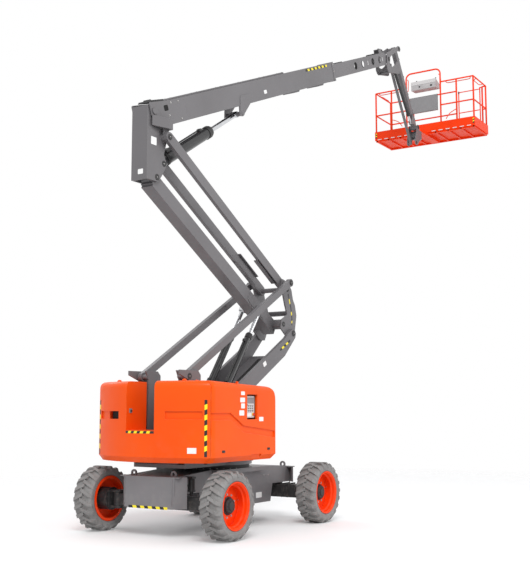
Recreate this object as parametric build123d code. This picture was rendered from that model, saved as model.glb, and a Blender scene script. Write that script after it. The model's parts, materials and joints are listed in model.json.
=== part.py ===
from build123d import *
from math import sin, cos, tan, radians, degrees, atan2, hypot, sqrt
import os

# Articulating boom lift, about the 18 m class, with a two-stage parallelogram riser,
# a telescopic main boom, a jib and a rotating platform. Millimetres, +Z up.
# Machine frame while modelling: origin on the ground under the slew axis, +X towards
# the platform, +Y to the operator's left. The finished parts are then moved so that
# the origin is the bottom centre of the whole machine.

# ---------------------------------------------------------------- clearances
seat_gap = 0.3          # between seated pieces that can be taken apart
pin_gap = 0.4           # radial gap of a pivot pin in its bore
side_gap = 6.0          # sideways gap between pieces that swing past each other

# ---------------------------------------------------------------- wheels
wheel_base = 2435.0
wheel_track = 2147.0
tyre_diameter = 892.0
tyre_width = 330.0
rim_diameter = 626.0
rim_width = 300.0
rim_wall = 12.0
rim_dish_depth = 95.0
hub_radius = 118.0
hub_length = 120.0
drive_radius = 165.0

# ---------------------------------------------------------------- chassis
chassis_half_length = 1500.0
chassis_half_width = 430.0
chassis_bottom = 305.0
deck_end_height = 800.0
deck_ring_height = 850.0
deck_ring_half_length = 640.0
arch_bottom = 565.0
arch_half_length = 330.0
axle_box_height = 190.0
axle_box_width = 190.0
apron_thickness = 20.0
apron_bottom = 385.0
apron_half_width = 400.0
apron_wing = 145.0
tie_down_thickness = 20.0
tie_down_bore = 44.0
tie_down_radius = 48.0
tie_down_x = 1400.0
tie_down_y = 340.0

# ---------------------------------------------------------------- steering
kingpin_y = 760.0
kingpin_radius = 42.0
kingpin_fork_height = 250.0
kingpin_fork_plate = 40.0
steer_angle = 30.0

# ---------------------------------------------------------------- turntable
ring_outer_radius = 520.0
ring_inner_radius = 380.0
ring_height = 50.0
base_thickness = 50.0
tail_radius = 1727.0
cowl_half_width = 985.0
cowl_bottom = 990.0
cowl_top = 2066.0
cowl_front_top = 2012.0
cowl_front = 130.0
cowl_wall = 40.0
cowl_inner_edge = 460.0
hood_start = -1425.0
tail_inner = -1281.0
slot_half_width = 238.0
slot_sill = 1410.0
panel_gap = 6.0
bottom_chamfer = 55.0
outer_plate_y = 425.0
outer_plate_thickness = 20.0
inner_plate_y = 256.0
inner_plate_thickness = 24.0
frame_front = 90.0
frame_top = 2040.0
window_x0 = -612.0
window_x1 = -350.0
window_z0 = 1550.0
window_z1 = 1890.0
hood_hinge_radius = 11.0

# ---------------------------------------------------------------- riser linkage
riser_foot = (-1018.0, 1330.0)        # turntable pivot of the lower arm (x, z)
riser_length = 3190.0
riser_angle = 29.7
lower_offset = (-194.0, 805.0)        # from the lower arm's pins to the lower links' pins
knee_offset = (-215.0, 138.0)         # from the lower arm's knee pin to the upper arm's
upper_length = 3607.0
upper_angle = 30.0
upper_offset = (127.0, 580.0)         # from the upper arm's pins to the upper links' pins
upper_arm_drop = 37.0                 # upper arm's centreline under its pins
upper_arm_shift = 56.0                # the beam starts this far behind the knee pin
lower_arm_y = 286.0
lower_arm_side = 52.0
lower_arm_over = 45.0
lower_arm_under = 195.0
lower_arm_floor = 14.0
lower_link_y = 346.0
lower_link_width = 68.0
lower_link_height = 105.0
upper_arm_half_width = 100.0
upper_arm_height = 205.0
upper_link_y = 192.0
upper_link_width = 58.0
upper_link_height = 150.0
riser_pin_radius = 38.0
knuckle_back = 85.0                   # boom pivot to the knuckle's back plate
knuckle_foot = 62.0                   # upper arm's head pin to the knuckle's lower edge
knuckle_plate = 24.0
wing_y = 167.0                        # inner face of the wing that carries the upper links
wing_flare = 89.0
knee_plate = 24.0
riser_cylinder_y = 165.0
riser_barrel_radius = 50.0
riser_rod_radius = 32.0
riser_base_back = 2000.0              # base pin: back from the knee pin along the lower arm
riser_base_rise = -10.0
riser_top_back = 556.0                # rod pin: from the upper arm's knee pin, along it
riser_top_drop = 82.0

# ---------------------------------------------------------------- main boom
boom_pivot_offset = (-115.0, 900.0)   # from the upper arm's top pin to the boom's pivot
boom_angle = 23.1
outer_length = 5760.0
outer_height = 337.0
outer_width = 290.0
outer_wall = 10.0
outer_rise = -68.0                    # boom centreline below its pivot
fly_height = 262.0
fly_width = 220.0
fly_wall = 10.0
fly_overlap = 2650.0                  # length of fly inside the outer boom at rest
fly_reach = 8456.0                    # pivot to tip pin, along the boom
fly_nose = 135.0                      # from the fly section's end to the tip pin
fly_tip_drop = 25.0
fly_nose_plate = 24.0                 # plates inside the tube's end that carry the tip pin
boom_pin_radius = 45.0
lift_base_offset = (265.0, -680.0)    # from the boom pivot to the lift cylinder's base pin
lift_eye = (2262.0, -356.0)           # rod's eye along and square to the boom, from its pivot
lift_lug_height = 150.0
lift_lug_thickness = 10.0
lift_barrel_radius = 88.0
lift_rod_radius = 42.0
lift_eye_width = 104.0

# ---------------------------------------------------------------- jib and platform
tip_to_jib = (537.0, 396.0)           # tip pin to the jib arm's pin
tip_to_link = (418.0, 22.0)          # tip pin to the jib link's pin
tip_to_cylinder = (507.0, -121.0)     # tip pin to the jib cylinder's base pin
jib_eye = (1610.0, -190.0)            # along and square to the jib arm's pins
jib_length = 1800.0
jib_angle = -55.0
jib_arm_half_width = 44.0
jib_arm_height = 120.0
jib_arm_drop = 55.0                   # beam's lower face under its pins
jib_link_y = 33.0                     # the link runs on one side, the cylinder on the other
jib_link_width = 50.0
jib_link_height = 36.0
jib_cylinder_y = -42.0
jib_eye_width = 44.0
jib_barrel_radius = 36.0
jib_rod_radius = 20.0
jib_pin_radius = 30.0
tip_pin_radius = 36.0
jib_link_pin = 20.0
jib_cylinder_pin = 24.0
tip_inner = 118.0                     # inner faces of the tip bracket's side plates
fork_inner = 88.0                     # inner faces of the platform mount's side plates
fork_plate = 16.0
rotator_radius = 92.0
rotator_ahead = 187.0                 # jib arm's foot pin to the platform's turning axis
rotator_drop = 46.0                   # jib arm's foot pin down to the top of the platform's motor
rotator_height = 180.0
platform_length = 2440.0
platform_depth = 880.0
platform_ahead = 557.0                # jib arm's foot pin to the platform's boom side
platform_rise = 65.0                  # top of the motor to the underside of the floor
floor_thickness = 45.0
toe_board_height = 165.0
toe_board_thickness = 8.0
rail_height = 1100.0
mid_rail_height = 560.0
rail_radius = 16.0
post_radius = 19.0
arch_half_width = 417.0
arch_height = 1420.0
gate_width = 560.0
gate_clear = 12.0
gate_rise = 30.0
gate_radius = 13.0

NODES = {}


# ================================================================ helpers
def block(x0, x1, y0, y1, z0, z1):
    return Pos((x0 + x1) / 2, (y0 + y1) / 2, (z0 + z1) / 2) * Box(x1 - x0, y1 - y0, z1 - z0)


def round_y(x, z, y0, y1, radius):
    return Pos(x, (y0 + y1) / 2, z) * Rot(90, 0, 0) * Cylinder(radius, abs(y1 - y0))


def round_x(x0, x1, y, z, radius):
    return Pos((x0 + x1) / 2, y, z) * Rot(0, 90, 0) * Cylinder(radius, abs(x1 - x0))


def round_z(x, y, z0, z1, radius):
    return Pos(x, y, (z0 + z1) / 2) * Rot(0, 0, 45) * Cylinder(radius, abs(z1 - z0))


def plate(outline, y0, y1, radius=0.0):
    """A flat plate with its outline in XZ and its thickness along Y."""
    corners = [(x, y0, z) for x, z in outline]
    if radius:
        edge = FilletPolyline(*corners, radius=radius, close=True)
    else:
        edge = Polyline(*corners, close=True)
    return extrude(make_face(edge), amount=y1 - y0, dir=(0, 1, 0))


def both_sides(shape):
    return [shape, mirror(shape, Plane.XZ)]


def fuse(*shapes):
    flat = []
    for shape in shapes:
        flat.extend(shape if isinstance(shape, (list, tuple)) else [shape])
    whole = flat[0]
    rest = flat[1:]
    return whole.fuse(*rest) if rest else whole


def tube_run(points, radius, bend):
    """A round rail along straight runs with bent corners."""
    path = FilletPolyline(*points, radius=bend) if len(points) > 2 else Line(*points)
    start = path @ 0
    section = Plane(start, z_dir=path % 0) * Circle(radius)
    return sweep(section, path=path)


def arm_frame(pivot, angle):
    """Local +X runs along the arm from its pivot, local +Z is square to it."""
    return Pos(pivot[0], 0, pivot[1]) * Rot(0, -angle, 0)


def along(pivot, angle, x, z=0.0):
    """Machine-frame point of a local (x, z) in an arm's frame."""
    a = radians(angle)
    return (pivot[0] + x * cos(a) - z * sin(a), pivot[1] + x * sin(a) + z * cos(a))


def add(point, offset):
    return (point[0] + offset[0], point[1] + offset[1])


def heading(start, end):
    return degrees(atan2(end[1] - start[1], end[0] - start[0]))


def distance(start, end):
    return hypot(end[0] - start[0], end[1] - start[1])


# ================================================================ pivots (x, z)
wheel_z = tyre_diameter / 2
front_x = wheel_base / 2
side_y = wheel_track / 2

knee_pin = along(riser_foot, riser_angle, riser_length)
lower_link_foot = add(riser_foot, lower_offset)
lower_link_head = add(knee_pin, lower_offset)
upper_arm_foot = add(knee_pin, knee_offset)
upper_arm_heading = 180 - upper_angle
upper_arm_head = along(upper_arm_foot, upper_arm_heading, upper_length)
upper_link_foot = add(upper_arm_foot, upper_offset)
upper_link_head = add(upper_arm_head, upper_offset)
riser_base = along(knee_pin, riser_angle, -riser_base_back, riser_base_rise)
riser_top = along(upper_arm_foot, upper_arm_heading, riser_top_back, riser_top_drop)
boom_pivot = add(upper_arm_head, boom_pivot_offset)
lift_base = add(boom_pivot, lift_base_offset)
lift_top = along(boom_pivot, boom_angle, lift_eye[0], lift_eye[1])
tip_pin = along(boom_pivot, boom_angle, fly_reach, outer_rise - fly_tip_drop)
jib_pin = add(tip_pin, tip_to_jib)
link_pin = add(tip_pin, tip_to_link)
jib_end = along(jib_pin, jib_angle, jib_length)
rotator_top = round(jib_end[1] - rotator_drop)
rotator_foot = rotator_top - rotator_height
platform_back = round(jib_end[0] + platform_ahead)
platform_floor_z = rotator_top + platform_rise
link_end = along(link_pin, jib_angle, jib_length)
jib_base = add(tip_pin, tip_to_cylinder)
jib_top = along(jib_pin, jib_angle, jib_eye[0], jib_eye[1])


# ================================================================ wheels
def wheel_profile(points):
    """Revolve an outline of (radius, width position) about the wheel's axle along Y."""
    edge = Polyline(*[(r, w, 0) for r, w in points], close=True)
    return revolve(make_face(edge), Axis.Y)


def tyre():
    r = tyre_diameter / 2
    seat = rim_diameter / 2 - 26.0
    w = tyre_width / 2
    return wheel_profile([
        (seat + seat_gap, -rim_width / 2 + 16), (seat + seat_gap, rim_width / 2 - 16),
        (rim_diameter / 2 + 4, rim_width / 2 - 16), (rim_diameter / 2 + 12, w - 8),
        (r - 70, w), (r - 22, w - 8), (r, w - 34), (r, -w + 34), (r - 22, -w + 8), (r - 70, -w),
        (rim_diameter / 2 + 12, -w + 8), (rim_diameter / 2 + 4, -rim_width / 2 + 16),
    ])


def rim():
    seat = rim_diameter / 2 - 26.0
    w = rim_width / 2
    lip = rim_diameter / 2
    dish = w - rim_dish_depth
    barrel = wheel_profile([
        (seat - rim_wall, -w), (lip, -w), (lip, -w + 10), (seat, -w + 15),
        (seat, w - 15), (lip, w - 10), (lip, w), (seat - rim_wall, w),
    ])
    disc = wheel_profile([
        (seat - rim_wall / 2, dish - 14), (seat - rim_wall / 2, dish), (hub_radius + 60, dish + 26),
        (hub_radius - 10, dish + 26), (hub_radius - 10, dish + 12), (hub_radius + 56, dish + 12),
    ])
    hub = wheel_profile([
        (0.0, dish - 20), (hub_radius, dish - 20), (hub_radius, dish + hub_length - 35),
        (hub_radius - 22, dish + hub_length - 12), (45.0, dish + hub_length - 12),
        (45.0, dish + hub_length), (0.0, dish + hub_length),
    ])
    return fuse(barrel, disc, hub)


def place_wheel(shape, x_sign, y_sign):
    turned = shape if y_sign > 0 else Rot(0, 0, 180) * shape
    return Pos(x_sign * front_x, y_sign * side_y, wheel_z) * turned


# name, end of the machine (-1 is the steered end), side (-1 is the operator's right)
WHEELS = [
    ("steer_right", -1, -1),
    ("steer_left", -1, 1),
    ("drive_right", 1, -1),
    ("drive_left", 1, 1),
]
for corner, x_sign, y_sign in WHEELS:
    NODES["tyre_" + corner] = place_wheel(tyre(), x_sign, y_sign)
    NODES["rim_" + corner] = place_wheel(rim(), x_sign, y_sign)


# ================================================================ chassis
drive_inner_face = side_y + rim_width / 2 - rim_dish_depth - 20.0     # inner face of the hub


def chassis_frame():
    x = chassis_half_length
    arch_in = front_x - arch_half_length
    outline = [
        (-x, arch_bottom), (-arch_in - 60, arch_bottom), (-arch_in, chassis_bottom),
        (arch_in, chassis_bottom), (arch_in + 60, arch_bottom), (x, arch_bottom),
        (x, deck_end_height), (deck_ring_half_length, deck_ring_height),
        (-deck_ring_half_length, deck_ring_height), (-x, deck_end_height),
    ]
    body = plate(outline, -chassis_half_width, chassis_half_width)
    shoulder = block(-deck_ring_half_length, deck_ring_half_length, -560, 560,
                     deck_ring_height - 60, deck_ring_height)
    aprons = []
    for sign in (-1, 1):
        face = x + apron_thickness
        wing_y = apron_half_width + apron_wing
        bottom = apron_bottom if sign < 0 else arch_bottom
        outer = [(sign * (face - apron_wing), wing_y), (sign * face, apron_half_width),
                 (sign * face, -apron_half_width), (sign * (face - apron_wing), -wing_y)]
        inner = [(sign * (face - apron_wing), -wing_y + apron_thickness * 1.5),
                 (sign * x, -apron_half_width), (sign * x, apron_half_width),
                 (sign * (face - apron_wing), wing_y - apron_thickness * 1.5)]
        edge = Polyline(*[(px, py, bottom) for px, py in outer + inner], close=True)
        aprons.append(extrude(make_face(edge), amount=deck_end_height - bottom, dir=(0, 0, 1)))
        aprons.append(block(min(sign * x, sign * (face - apron_wing)),
                            max(sign * x, sign * (face - apron_wing)),
                            -apron_half_width - 100, apron_half_width + 100,
                            deck_end_height - 14, deck_end_height))
    eyes = []
    for ex in (-tie_down_x, tie_down_x):
        for ey in (-tie_down_y, tie_down_y):
            deck = deck_end_height
            top = deck + tie_down_radius + 30
            x0, x1 = ex - tie_down_thickness / 2, ex + tie_down_thickness / 2
            lug = fuse(block(x0, x1, ey - tie_down_radius, ey + tie_down_radius,
                             deck - 20, top - tie_down_radius),
                       round_x(x0, x1, ey, top - tie_down_radius, tie_down_radius))
            eyes.append(lug - round_x(x0 - 30, x1 + 30, ey, top - tie_down_radius, tie_down_bore / 2))
    # hangers that carry the steer axle's trunnion
    hangers = []
    for sign in (-1, 1):
        hx = -front_x + sign * (axle_box_width / 2 + 30)
        hangers.append(block(hx - 15, hx + 15, -110, 110, trunnion_z - 80, arch_bottom + 5))
    whole = fuse(body, shoulder, aprons, eyes, hangers)
    return whole - round_x(-front_x - 300, -front_x + 300, 0, trunnion_z, trunnion_radius + seat_gap)


axle_z0 = wheel_z - axle_box_height / 2
axle_z1 = wheel_z + axle_box_height / 2
trunnion_z = axle_z0 + 95.0
trunnion_radius = 45.0


def rear_axle():
    x = front_x
    half = axle_box_width / 2
    beam = block(x - half, x + half, -side_y + 300, side_y - 300, axle_z0, axle_z1)
    seat = block(x - half - 30, x + half + 30, -chassis_half_width + 60, chassis_half_width - 60,
                 axle_z1 - 10, arch_bottom - seat_gap)
    ribs = [block(x - half - 25, x + half + 25, y - 8, y + 8, axle_z0, arch_bottom - seat_gap - 3)
            for y in (-600, -500, 500, 600)]
    drives = []
    for sign in (-1, 1):
        inner = sign * (side_y - 310)
        outer = sign * (drive_inner_face - seat_gap)
        drives.append(round_y(x, wheel_z, inner, outer, drive_radius))
    return fuse(beam, seat, ribs, drives)


def steer_axle():
    x = -front_x
    half = axle_box_width / 2
    end = kingpin_y - 80.0
    beam = block(x - half + 20, x + half - 20, -end, end, axle_z0 + 15, axle_z1 - 15)
    trunnion = round_x(x - half - 55, x + half + 55, 0, trunnion_z, trunnion_radius)
    collar = round_x(x - half + 10, x + half - 10, 0, trunnion_z, 78)
    ends = []
    for sign in (-1, 1):
        boss = round_z(x, sign * kingpin_y, wheel_z - 85, wheel_z + 85, 72)
        web = block(x - 60, x + 60, min(sign * (end - 10), sign * (kingpin_y - 40)),
                    max(sign * (end - 10), sign * (kingpin_y - 40)), wheel_z - 70, wheel_z + 70)
        ends += [boss, web]
    axle = fuse(beam, trunnion, collar, ends)
    for sign in (-1, 1):
        axle = axle - round_z(x, sign * kingpin_y, 0, 900, kingpin_radius + pin_gap)
    return axle


def knuckle(sign):
    """A fork above and below the axle end, with the kingpin and the wheel's drive hub."""
    x = -front_x
    y = sign * kingpin_y
    half = kingpin_fork_height / 2
    pin = round_z(x, y, wheel_z - half, wheel_z + half, kingpin_radius)
    parts = [pin]
    back = sign * (kingpin_y + 90)
    for z0, z1 in ((wheel_z - half, wheel_z - half + kingpin_fork_plate - 5),
                   (wheel_z + half - kingpin_fork_plate + 5, wheel_z + half)):
        parts.append(block(x - 70, x + 70, min(y, back), max(y, back), z0, z1))
        parts.append(round_z(x, y, z0, z1, 70))
    parts.append(block(x - 95, x + 95, min(back, back + sign * 30), max(back, back + sign * 30),
                       wheel_z - half, wheel_z + half))
    outer = sign * (drive_inner_face - seat_gap)
    parts.append(round_y(x, wheel_z, back + sign * 20, outer, drive_radius - 10))
    return fuse(parts)


NODES["chassis_frame"] = chassis_frame()
NODES["rear_axle"] = rear_axle()
NODES["steer_axle"] = steer_axle()
NODES["knuckle_right"] = knuckle(-1)
NODES["knuckle_left"] = knuckle(1)


# ================================================================ turntable
ring_z0 = deck_ring_height + seat_gap
ring_z1 = ring_z0 + ring_height
base_z0 = ring_z1 + seat_gap
base_z1 = base_z0 + base_thickness
outer_plate_out = outer_plate_y + outer_plate_thickness
post_back = -1218.0
post_front = -955.0
post_head = 2216.0


def slew_ring():
    ring = round_z(0, 0, ring_z0, ring_z1, ring_outer_radius)
    return ring - round_z(0, 0, ring_z0 - 5, ring_z1 + 5, ring_inner_radius)


def turntable_frame():
    base = fuse(block(tail_inner + seat_gap, frame_front, -outer_plate_out, outer_plate_out,
                      base_z0, base_z1),
                round_z(0, 0, base_z0, base_z1, ring_outer_radius + 40))
    link_z = lower_link_foot[1]
    # outline of the outer plates: hood rail in front, link post behind
    outer = [
        (tail_inner + seat_gap, base_z1 - 5), (frame_front, base_z1 - 5), (frame_front, 1500),
        (frame_front - 160, frame_top - 60), (frame_front, frame_top - 60),
        (frame_front, frame_top), (post_front, frame_top), (post_front, post_head - 60),
        (post_front - 60, post_head), (-1436, post_head), (-1436, post_head - 60),
        (post_back, 2080), (post_back, 1400), (tail_inner + seat_gap, 1400),
    ]
    inner = [
        (post_back, base_z1 - 5), (post_front + 30, base_z1 - 5), (post_front + 30, 1400),
        (post_front, 1500), (post_front, post_head - 60), (post_front - 60, post_head),
        (post_back - 60, post_head), (post_back, 2100),
    ]
    parts = [base]
    parts += both_sides(plate(outer, outer_plate_y, outer_plate_out))
    parts += both_sides(plate(inner, inner_plate_y, inner_plate_y + inner_plate_thickness))
    # pins of the lower links stand between the two plates
    parts += both_sides(round_y(lower_link_foot[0], link_z, inner_plate_y + 5, outer_plate_out - 5,
                                riser_pin_radius))
    # stub pins of the lower arm
    parts += both_sides(round_y(riser_foot[0], riser_foot[1], inner_plate_y + 5,
                                lower_arm_y + lower_arm_side + 8, riser_pin_radius))
    # trays that carry the engine and the tank
    for sign in (-1, 1):
        parts.append(block(-1150, -100, min(sign * outer_plate_y, sign * 900),
                           max(sign * outer_plate_y, sign * 900), 1000, 1016))
        for hx in (-1100, -120):
            for part in hinge_lugs(hx, sign):
                parts.append(part)
    # arms that hold the ground controls
    for z in (1620, 1820):
        parts.append(block(-560, -400, -850, -outer_plate_y, z - 15, z + 15))
    return fuse(parts)


hood_hinge_y = cowl_inner_edge - 2.0
hood_hinge_z = cowl_top + 14.0


def hinge_lugs(hx, sign):
    y0 = sign * (outer_plate_out - 15)
    y1 = sign * hood_hinge_y
    post = block(hx - 30, hx - seat_gap, min(y0, sign * (outer_plate_out)), max(y0, sign * outer_plate_out),
                 frame_top - 20, hood_hinge_z + hood_hinge_radius)
    knuckle_tube = round_x(hx - 30, hx - seat_gap, y1, hood_hinge_z, hood_hinge_radius)
    joint_web = block(hx - 30, hx - seat_gap, min(sign * (outer_plate_out - 4), y1),
                      max(sign * (outer_plate_out - 4), y1), hood_hinge_z - 6, hood_hinge_z + 6)
    return [post, knuckle_tube, joint_web]


def cowl_envelope(inset, top_drop=0.0):
    """The whole cowling as one solid: tail arc, straight sides and a falling top."""
    radius = tail_radius - inset
    half = cowl_half_width - inset
    corner = -sqrt(radius ** 2 - half ** 2)
    front = cowl_front - inset
    z0 = cowl_bottom - 5 if inset else cowl_bottom
    arc = ThreePointArc((corner, half), (-radius, 0), (corner, -half))
    sides = Polyline((corner, -half), (front, -half), (front, half), (corner, half))
    body = Pos(0, 0, z0) * extrude(make_face(Wire([arc] + sides.edges())),
                                   amount=cowl_top + 50 - z0)
    nose = 190.0 if not inset else 150.0
    profile = [
        (-2000, z0 - 1), (front + 1, z0 - 1), (front + 1, cowl_front_top - inset - nose),
        (front - nose * 0.3, cowl_front_top - inset - nose * 0.3),
        (front - nose, cowl_front_top - inset), (hood_start, cowl_top - inset),
        (-2000, cowl_top - inset),
    ]
    return body & plate(profile, -1200, 1200)


def cowls():
    outer = cowl_envelope(0.0)
    cavity = cowl_envelope(cowl_wall)
    # tail: a solid ballast casting with the boom's slot in the middle
    tail_zone = fuse(block(-2000, hood_start - panel_gap, -1200, 1200, 900, 2200),
                     block(-2000, tail_inner, -cowl_inner_edge + 10, cowl_inner_edge - 10, 900, 2200))
    tail = outer & tail_zone
    slot = plate([(-2000, slot_sill), (-1200, slot_sill), (-1200, 2200), (-2000, 2200)],
                 -slot_half_width, slot_half_width)
    tail = tail - slot
    shell = outer - cavity
    hoods = []
    for sign in (-1, 1):
        zone = block(hood_start, 400, min(sign * cowl_inner_edge, sign * 1200),
                     max(sign * cowl_inner_edge, sign * 1200), 900, 2200)
        hood = shell & zone
        # back wall of the hood, behind the ballast
        back = (outer & block(hood_start, hood_start + cowl_wall, min(sign * cowl_inner_edge, sign * 1200),
                              max(sign * cowl_inner_edge, sign * 1200), 900, 2200))
        hood = fuse(hood, back)
        if sign < 0:
            hood = hood - block(window_x0, window_x1, -1200, -900, window_z0, window_z1)
        lugs = []
        for hx in (-1100, -120):
            y = sign * hood_hinge_y
            lugs.append(round_x(hx, hx + 30, y, hood_hinge_z, hood_hinge_radius))
            top = hood_top(hx)
            lugs.append(block(hx, hx + 30, min(y, sign * (cowl_inner_edge + 30)),
                              max(y, sign * (cowl_inner_edge + 30)), hood_hinge_z - 7, hood_hinge_z + 6))
            lugs.append(block(hx, hx + 30, min(sign * (cowl_inner_edge + 4), sign * (cowl_inner_edge + 30)),
                              max(sign * (cowl_inner_edge + 4), sign * (cowl_inner_edge + 30)),
                              top - 10, hood_hinge_z + 6))
        hoods.append(fuse(hood, lugs))
    return tail, hoods[0], hoods[1]


def hood_top(x):
    share = (x - hood_start) / (cowl_front - 190.0 - hood_start)
    return cowl_top + (cowl_front_top - cowl_top) * share


tail, hood_right, hood_left = cowls()
NODES["slew_ring"] = slew_ring()
NODES["turntable_frame"] = turntable_frame()
NODES["ballast_tail"] = tail
NODES["hood_right"] = hood_right
NODES["hood_left"] = hood_left
NODES["ground_controls"] = block(-600, -362, -938, -850 - seat_gap, 1570, 1872)
NODES["engine"] = block(-1120, -300, 500, 880, 1016 + seat_gap, 1560)
NODES["tank"] = block(-1120, -680, -880, -500, 1016 + seat_gap, 1500)


# ================================================================ riser linkage
def bored(shape, x, z, radius=riser_pin_radius + pin_gap):
    return shape - round_y(x, z, -600, 600, radius)


def lower_arm():
    """A trough of two side beams and a floor, so that the upper arm folds down into it."""
    n = riser_length
    side = [
        (-40, -70), (260, -lower_arm_under), (n - 420, -lower_arm_under), (n + 20, -90),
        (n + 70, -40), (n + 70, 30), (n + 30, 70), (n - 120, lower_arm_over + 25),
        (n - 260, lower_arm_over), (220, lower_arm_over), (60, 75), (-50, 65),
    ]
    y1 = lower_arm_y + lower_arm_side
    sides = []
    for part in both_sides(plate(side, lower_arm_y, y1, radius=24)):
        sides.append(part)
    floor = block(320, n - 430, -y1 + 4, y1 - 4, -lower_arm_under, -lower_arm_under + lower_arm_floor)
    base_x = n - riser_base_back
    pins = both_sides(round_y(base_x, riser_base_rise, riser_cylinder_y - 45, lower_arm_y + 5, 34))
    arm = fuse(sides, floor, pins)
    arm = bored(arm, 0, 0)
    arm = bored(arm, n, 0)
    return arm_frame(riser_foot, riser_angle) * arm


def link(length, height, y0, y1, end_radius, bore):
    """A box link with round ends and thickened end plates."""
    body = block(0, length, y0, y1, -height / 2, height / 2)
    ends = [round_y(x, 0, y0, y1, end_radius) for x in (0, length)]
    whole = fuse(body, ends)
    return bored(bored(whole, 0, 0, bore), length, 0, bore)


def lower_links():
    bar = link(riser_length, lower_link_height, lower_link_y, lower_link_y + lower_link_width,
               62, riser_pin_radius + pin_gap)
    pair = Compound(both_sides(bar))
    return arm_frame(lower_link_foot, riser_angle) * pair


def upper_arm():
    half = upper_arm_half_width
    low = -upper_arm_drop - upper_arm_height / 2
    high = -upper_arm_drop + upper_arm_height / 2
    beam = block(-10 - upper_arm_shift, upper_length - 20, -half, half, low, high)
    feet = [round_y(0, 0, -inner_gap_y, inner_gap_y, 80), round_y(upper_length, 0, -half, half, 72),
            block(upper_length - 21, upper_length + 8, -half, half, low + 30, 60)]
    bosses = both_sides(round_y(riser_top_back, -riser_top_drop, half - 5, riser_cylinder_y - 48, 46))
    arm = fuse(beam, feet, bosses)
    arm = bored(arm, 0, 0)
    arm = bored(arm, upper_length, 0)
    # mirrored so that the local +Z side stays the upper side of the arm
    arm = mirror(arm, Plane.YZ)
    return Pos(upper_arm_foot[0], 0, upper_arm_foot[1]) * Rot(0, upper_angle, 0) * arm


inner_gap_y = inner_plate_y - side_gap


def upper_links():
    bar = link(upper_length, upper_link_height, upper_link_y, upper_link_y + upper_link_width,
               70, riser_pin_radius + pin_gap)
    pair = Compound([mirror(shape, Plane.YZ) for shape in both_sides(bar)])
    return Pos(upper_link_foot[0], 0, upper_link_foot[1]) * Rot(0, upper_angle, 0) * pair


def knee():
    y0 = inner_plate_y
    y1 = y0 + knee_plate
    kx, kz = knee_pin
    outline = [
        (kx - 60, kz - 95), (kx + 70, kz - 90), (kx + 150, kz + 60), (kx + 200, kz + 310),
        (kx + 150, kz + 480), (kx + 90, kz + 560), (kx + 40, kz + 720),
        (kx - 60, kz + 830), (lower_link_head[0] - 60, lower_link_head[1] + 70),
        (lower_link_head[0] - 80, lower_link_head[1] - 40), (kx - 170, kz + 480),
        (kx - 90, kz + 300), (upper_arm_foot[0] - 60, upper_arm_foot[1] + 70),
        (upper_arm_foot[0] - 85, upper_arm_foot[1] - 70),
    ]
    plates = both_sides(plate(outline, y0, y1, radius=20))
    parts = list(plates)
    # pins: lower arm outside the plates, upper arm through, upper links inside, lower links outside
    parts += both_sides(round_y(kx, kz, y0 + 5, lower_arm_y + lower_arm_side + 6, riser_pin_radius))
    parts.append(round_y(upper_arm_foot[0], upper_arm_foot[1], -y0 - 5, y0 + 5, riser_pin_radius))
    parts.append(round_y(upper_link_foot[0], upper_link_foot[1], -y0 - 5, y0 + 5, riser_pin_radius))
    parts += both_sides(round_y(lower_link_head[0], lower_link_head[1], y0 + 5,
                                lower_link_y + lower_link_width + 8, riser_pin_radius))
    # cross tube that ties the two plates together, clear of the folded upper arm
    parts.append(round_y(kx + 150, kz + 350, -y0 - 5, y0 + 5, 42))
    return fuse(parts)


def top_knuckle():
    """The upright weldment at the riser's head that carries the main boom."""
    ax, az = upper_arm_head
    bx, bz = boom_pivot
    lx, lz = lift_base
    px, pz = upper_link_head
    back = bx - knuckle_back
    foot = az - knuckle_foot
    side = [
        (back, foot), (ax + 20, foot), (ax + 95, az + 25), (lx + 45, lz - 45), (lx + 50, lz + 25),
        (lx - 5, lz + 130), (px + 70, pz - 60), (px + 75, pz + 60), (bx + 90, bz - 70),
        (bx + 80, bz + 60), (bx - 40, bz + 75), (back, bz + 70),
    ]
    y0 = upper_arm_half_width + 2 * side_gap
    y1 = y0 + knuckle_plate
    parts = both_sides(plate(side, y0, y1, radius=18))
    parts.append(block(back - knuckle_plate, back + 4, -y1, y1, foot, bz + 68))
    parts.append(round_y(ax, az, -y1 + 5, y1 - 5, riser_pin_radius))
    parts.append(round_y(lx, lz, -y1 + 5, y1 - 5, 40))
    # wing tube that carries the upper links' heads, and the flared wing over it
    parts += both_sides(round_y(px, pz, y1 - 5, upper_link_y + upper_link_width + 8, riser_pin_radius))
    parts += both_sides(round_y(px, pz, y1 - 5, upper_link_y - side_gap, 62))
    wing = Polyline((px - 290, wing_y, pz + 112), (px - 20, wing_y + wing_flare, pz + 112),
                    (px + 60, wing_y + wing_flare, pz + 112), (px + 60, wing_y, pz + 112), close=True)
    parts += both_sides(extrude(make_face(wing), amount=145, dir=(0, 0, 1)))
    parts += both_sides(block(px - 60, px + 60, wing_y, upper_link_y - side_gap, pz - 50, pz + 257))
    # stub pins of the main boom, outside the plates
    parts += both_sides(round_y(bx, bz, y1 - 5, outer_width / 2 + 34, boom_pin_radius))
    return fuse(parts)


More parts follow.
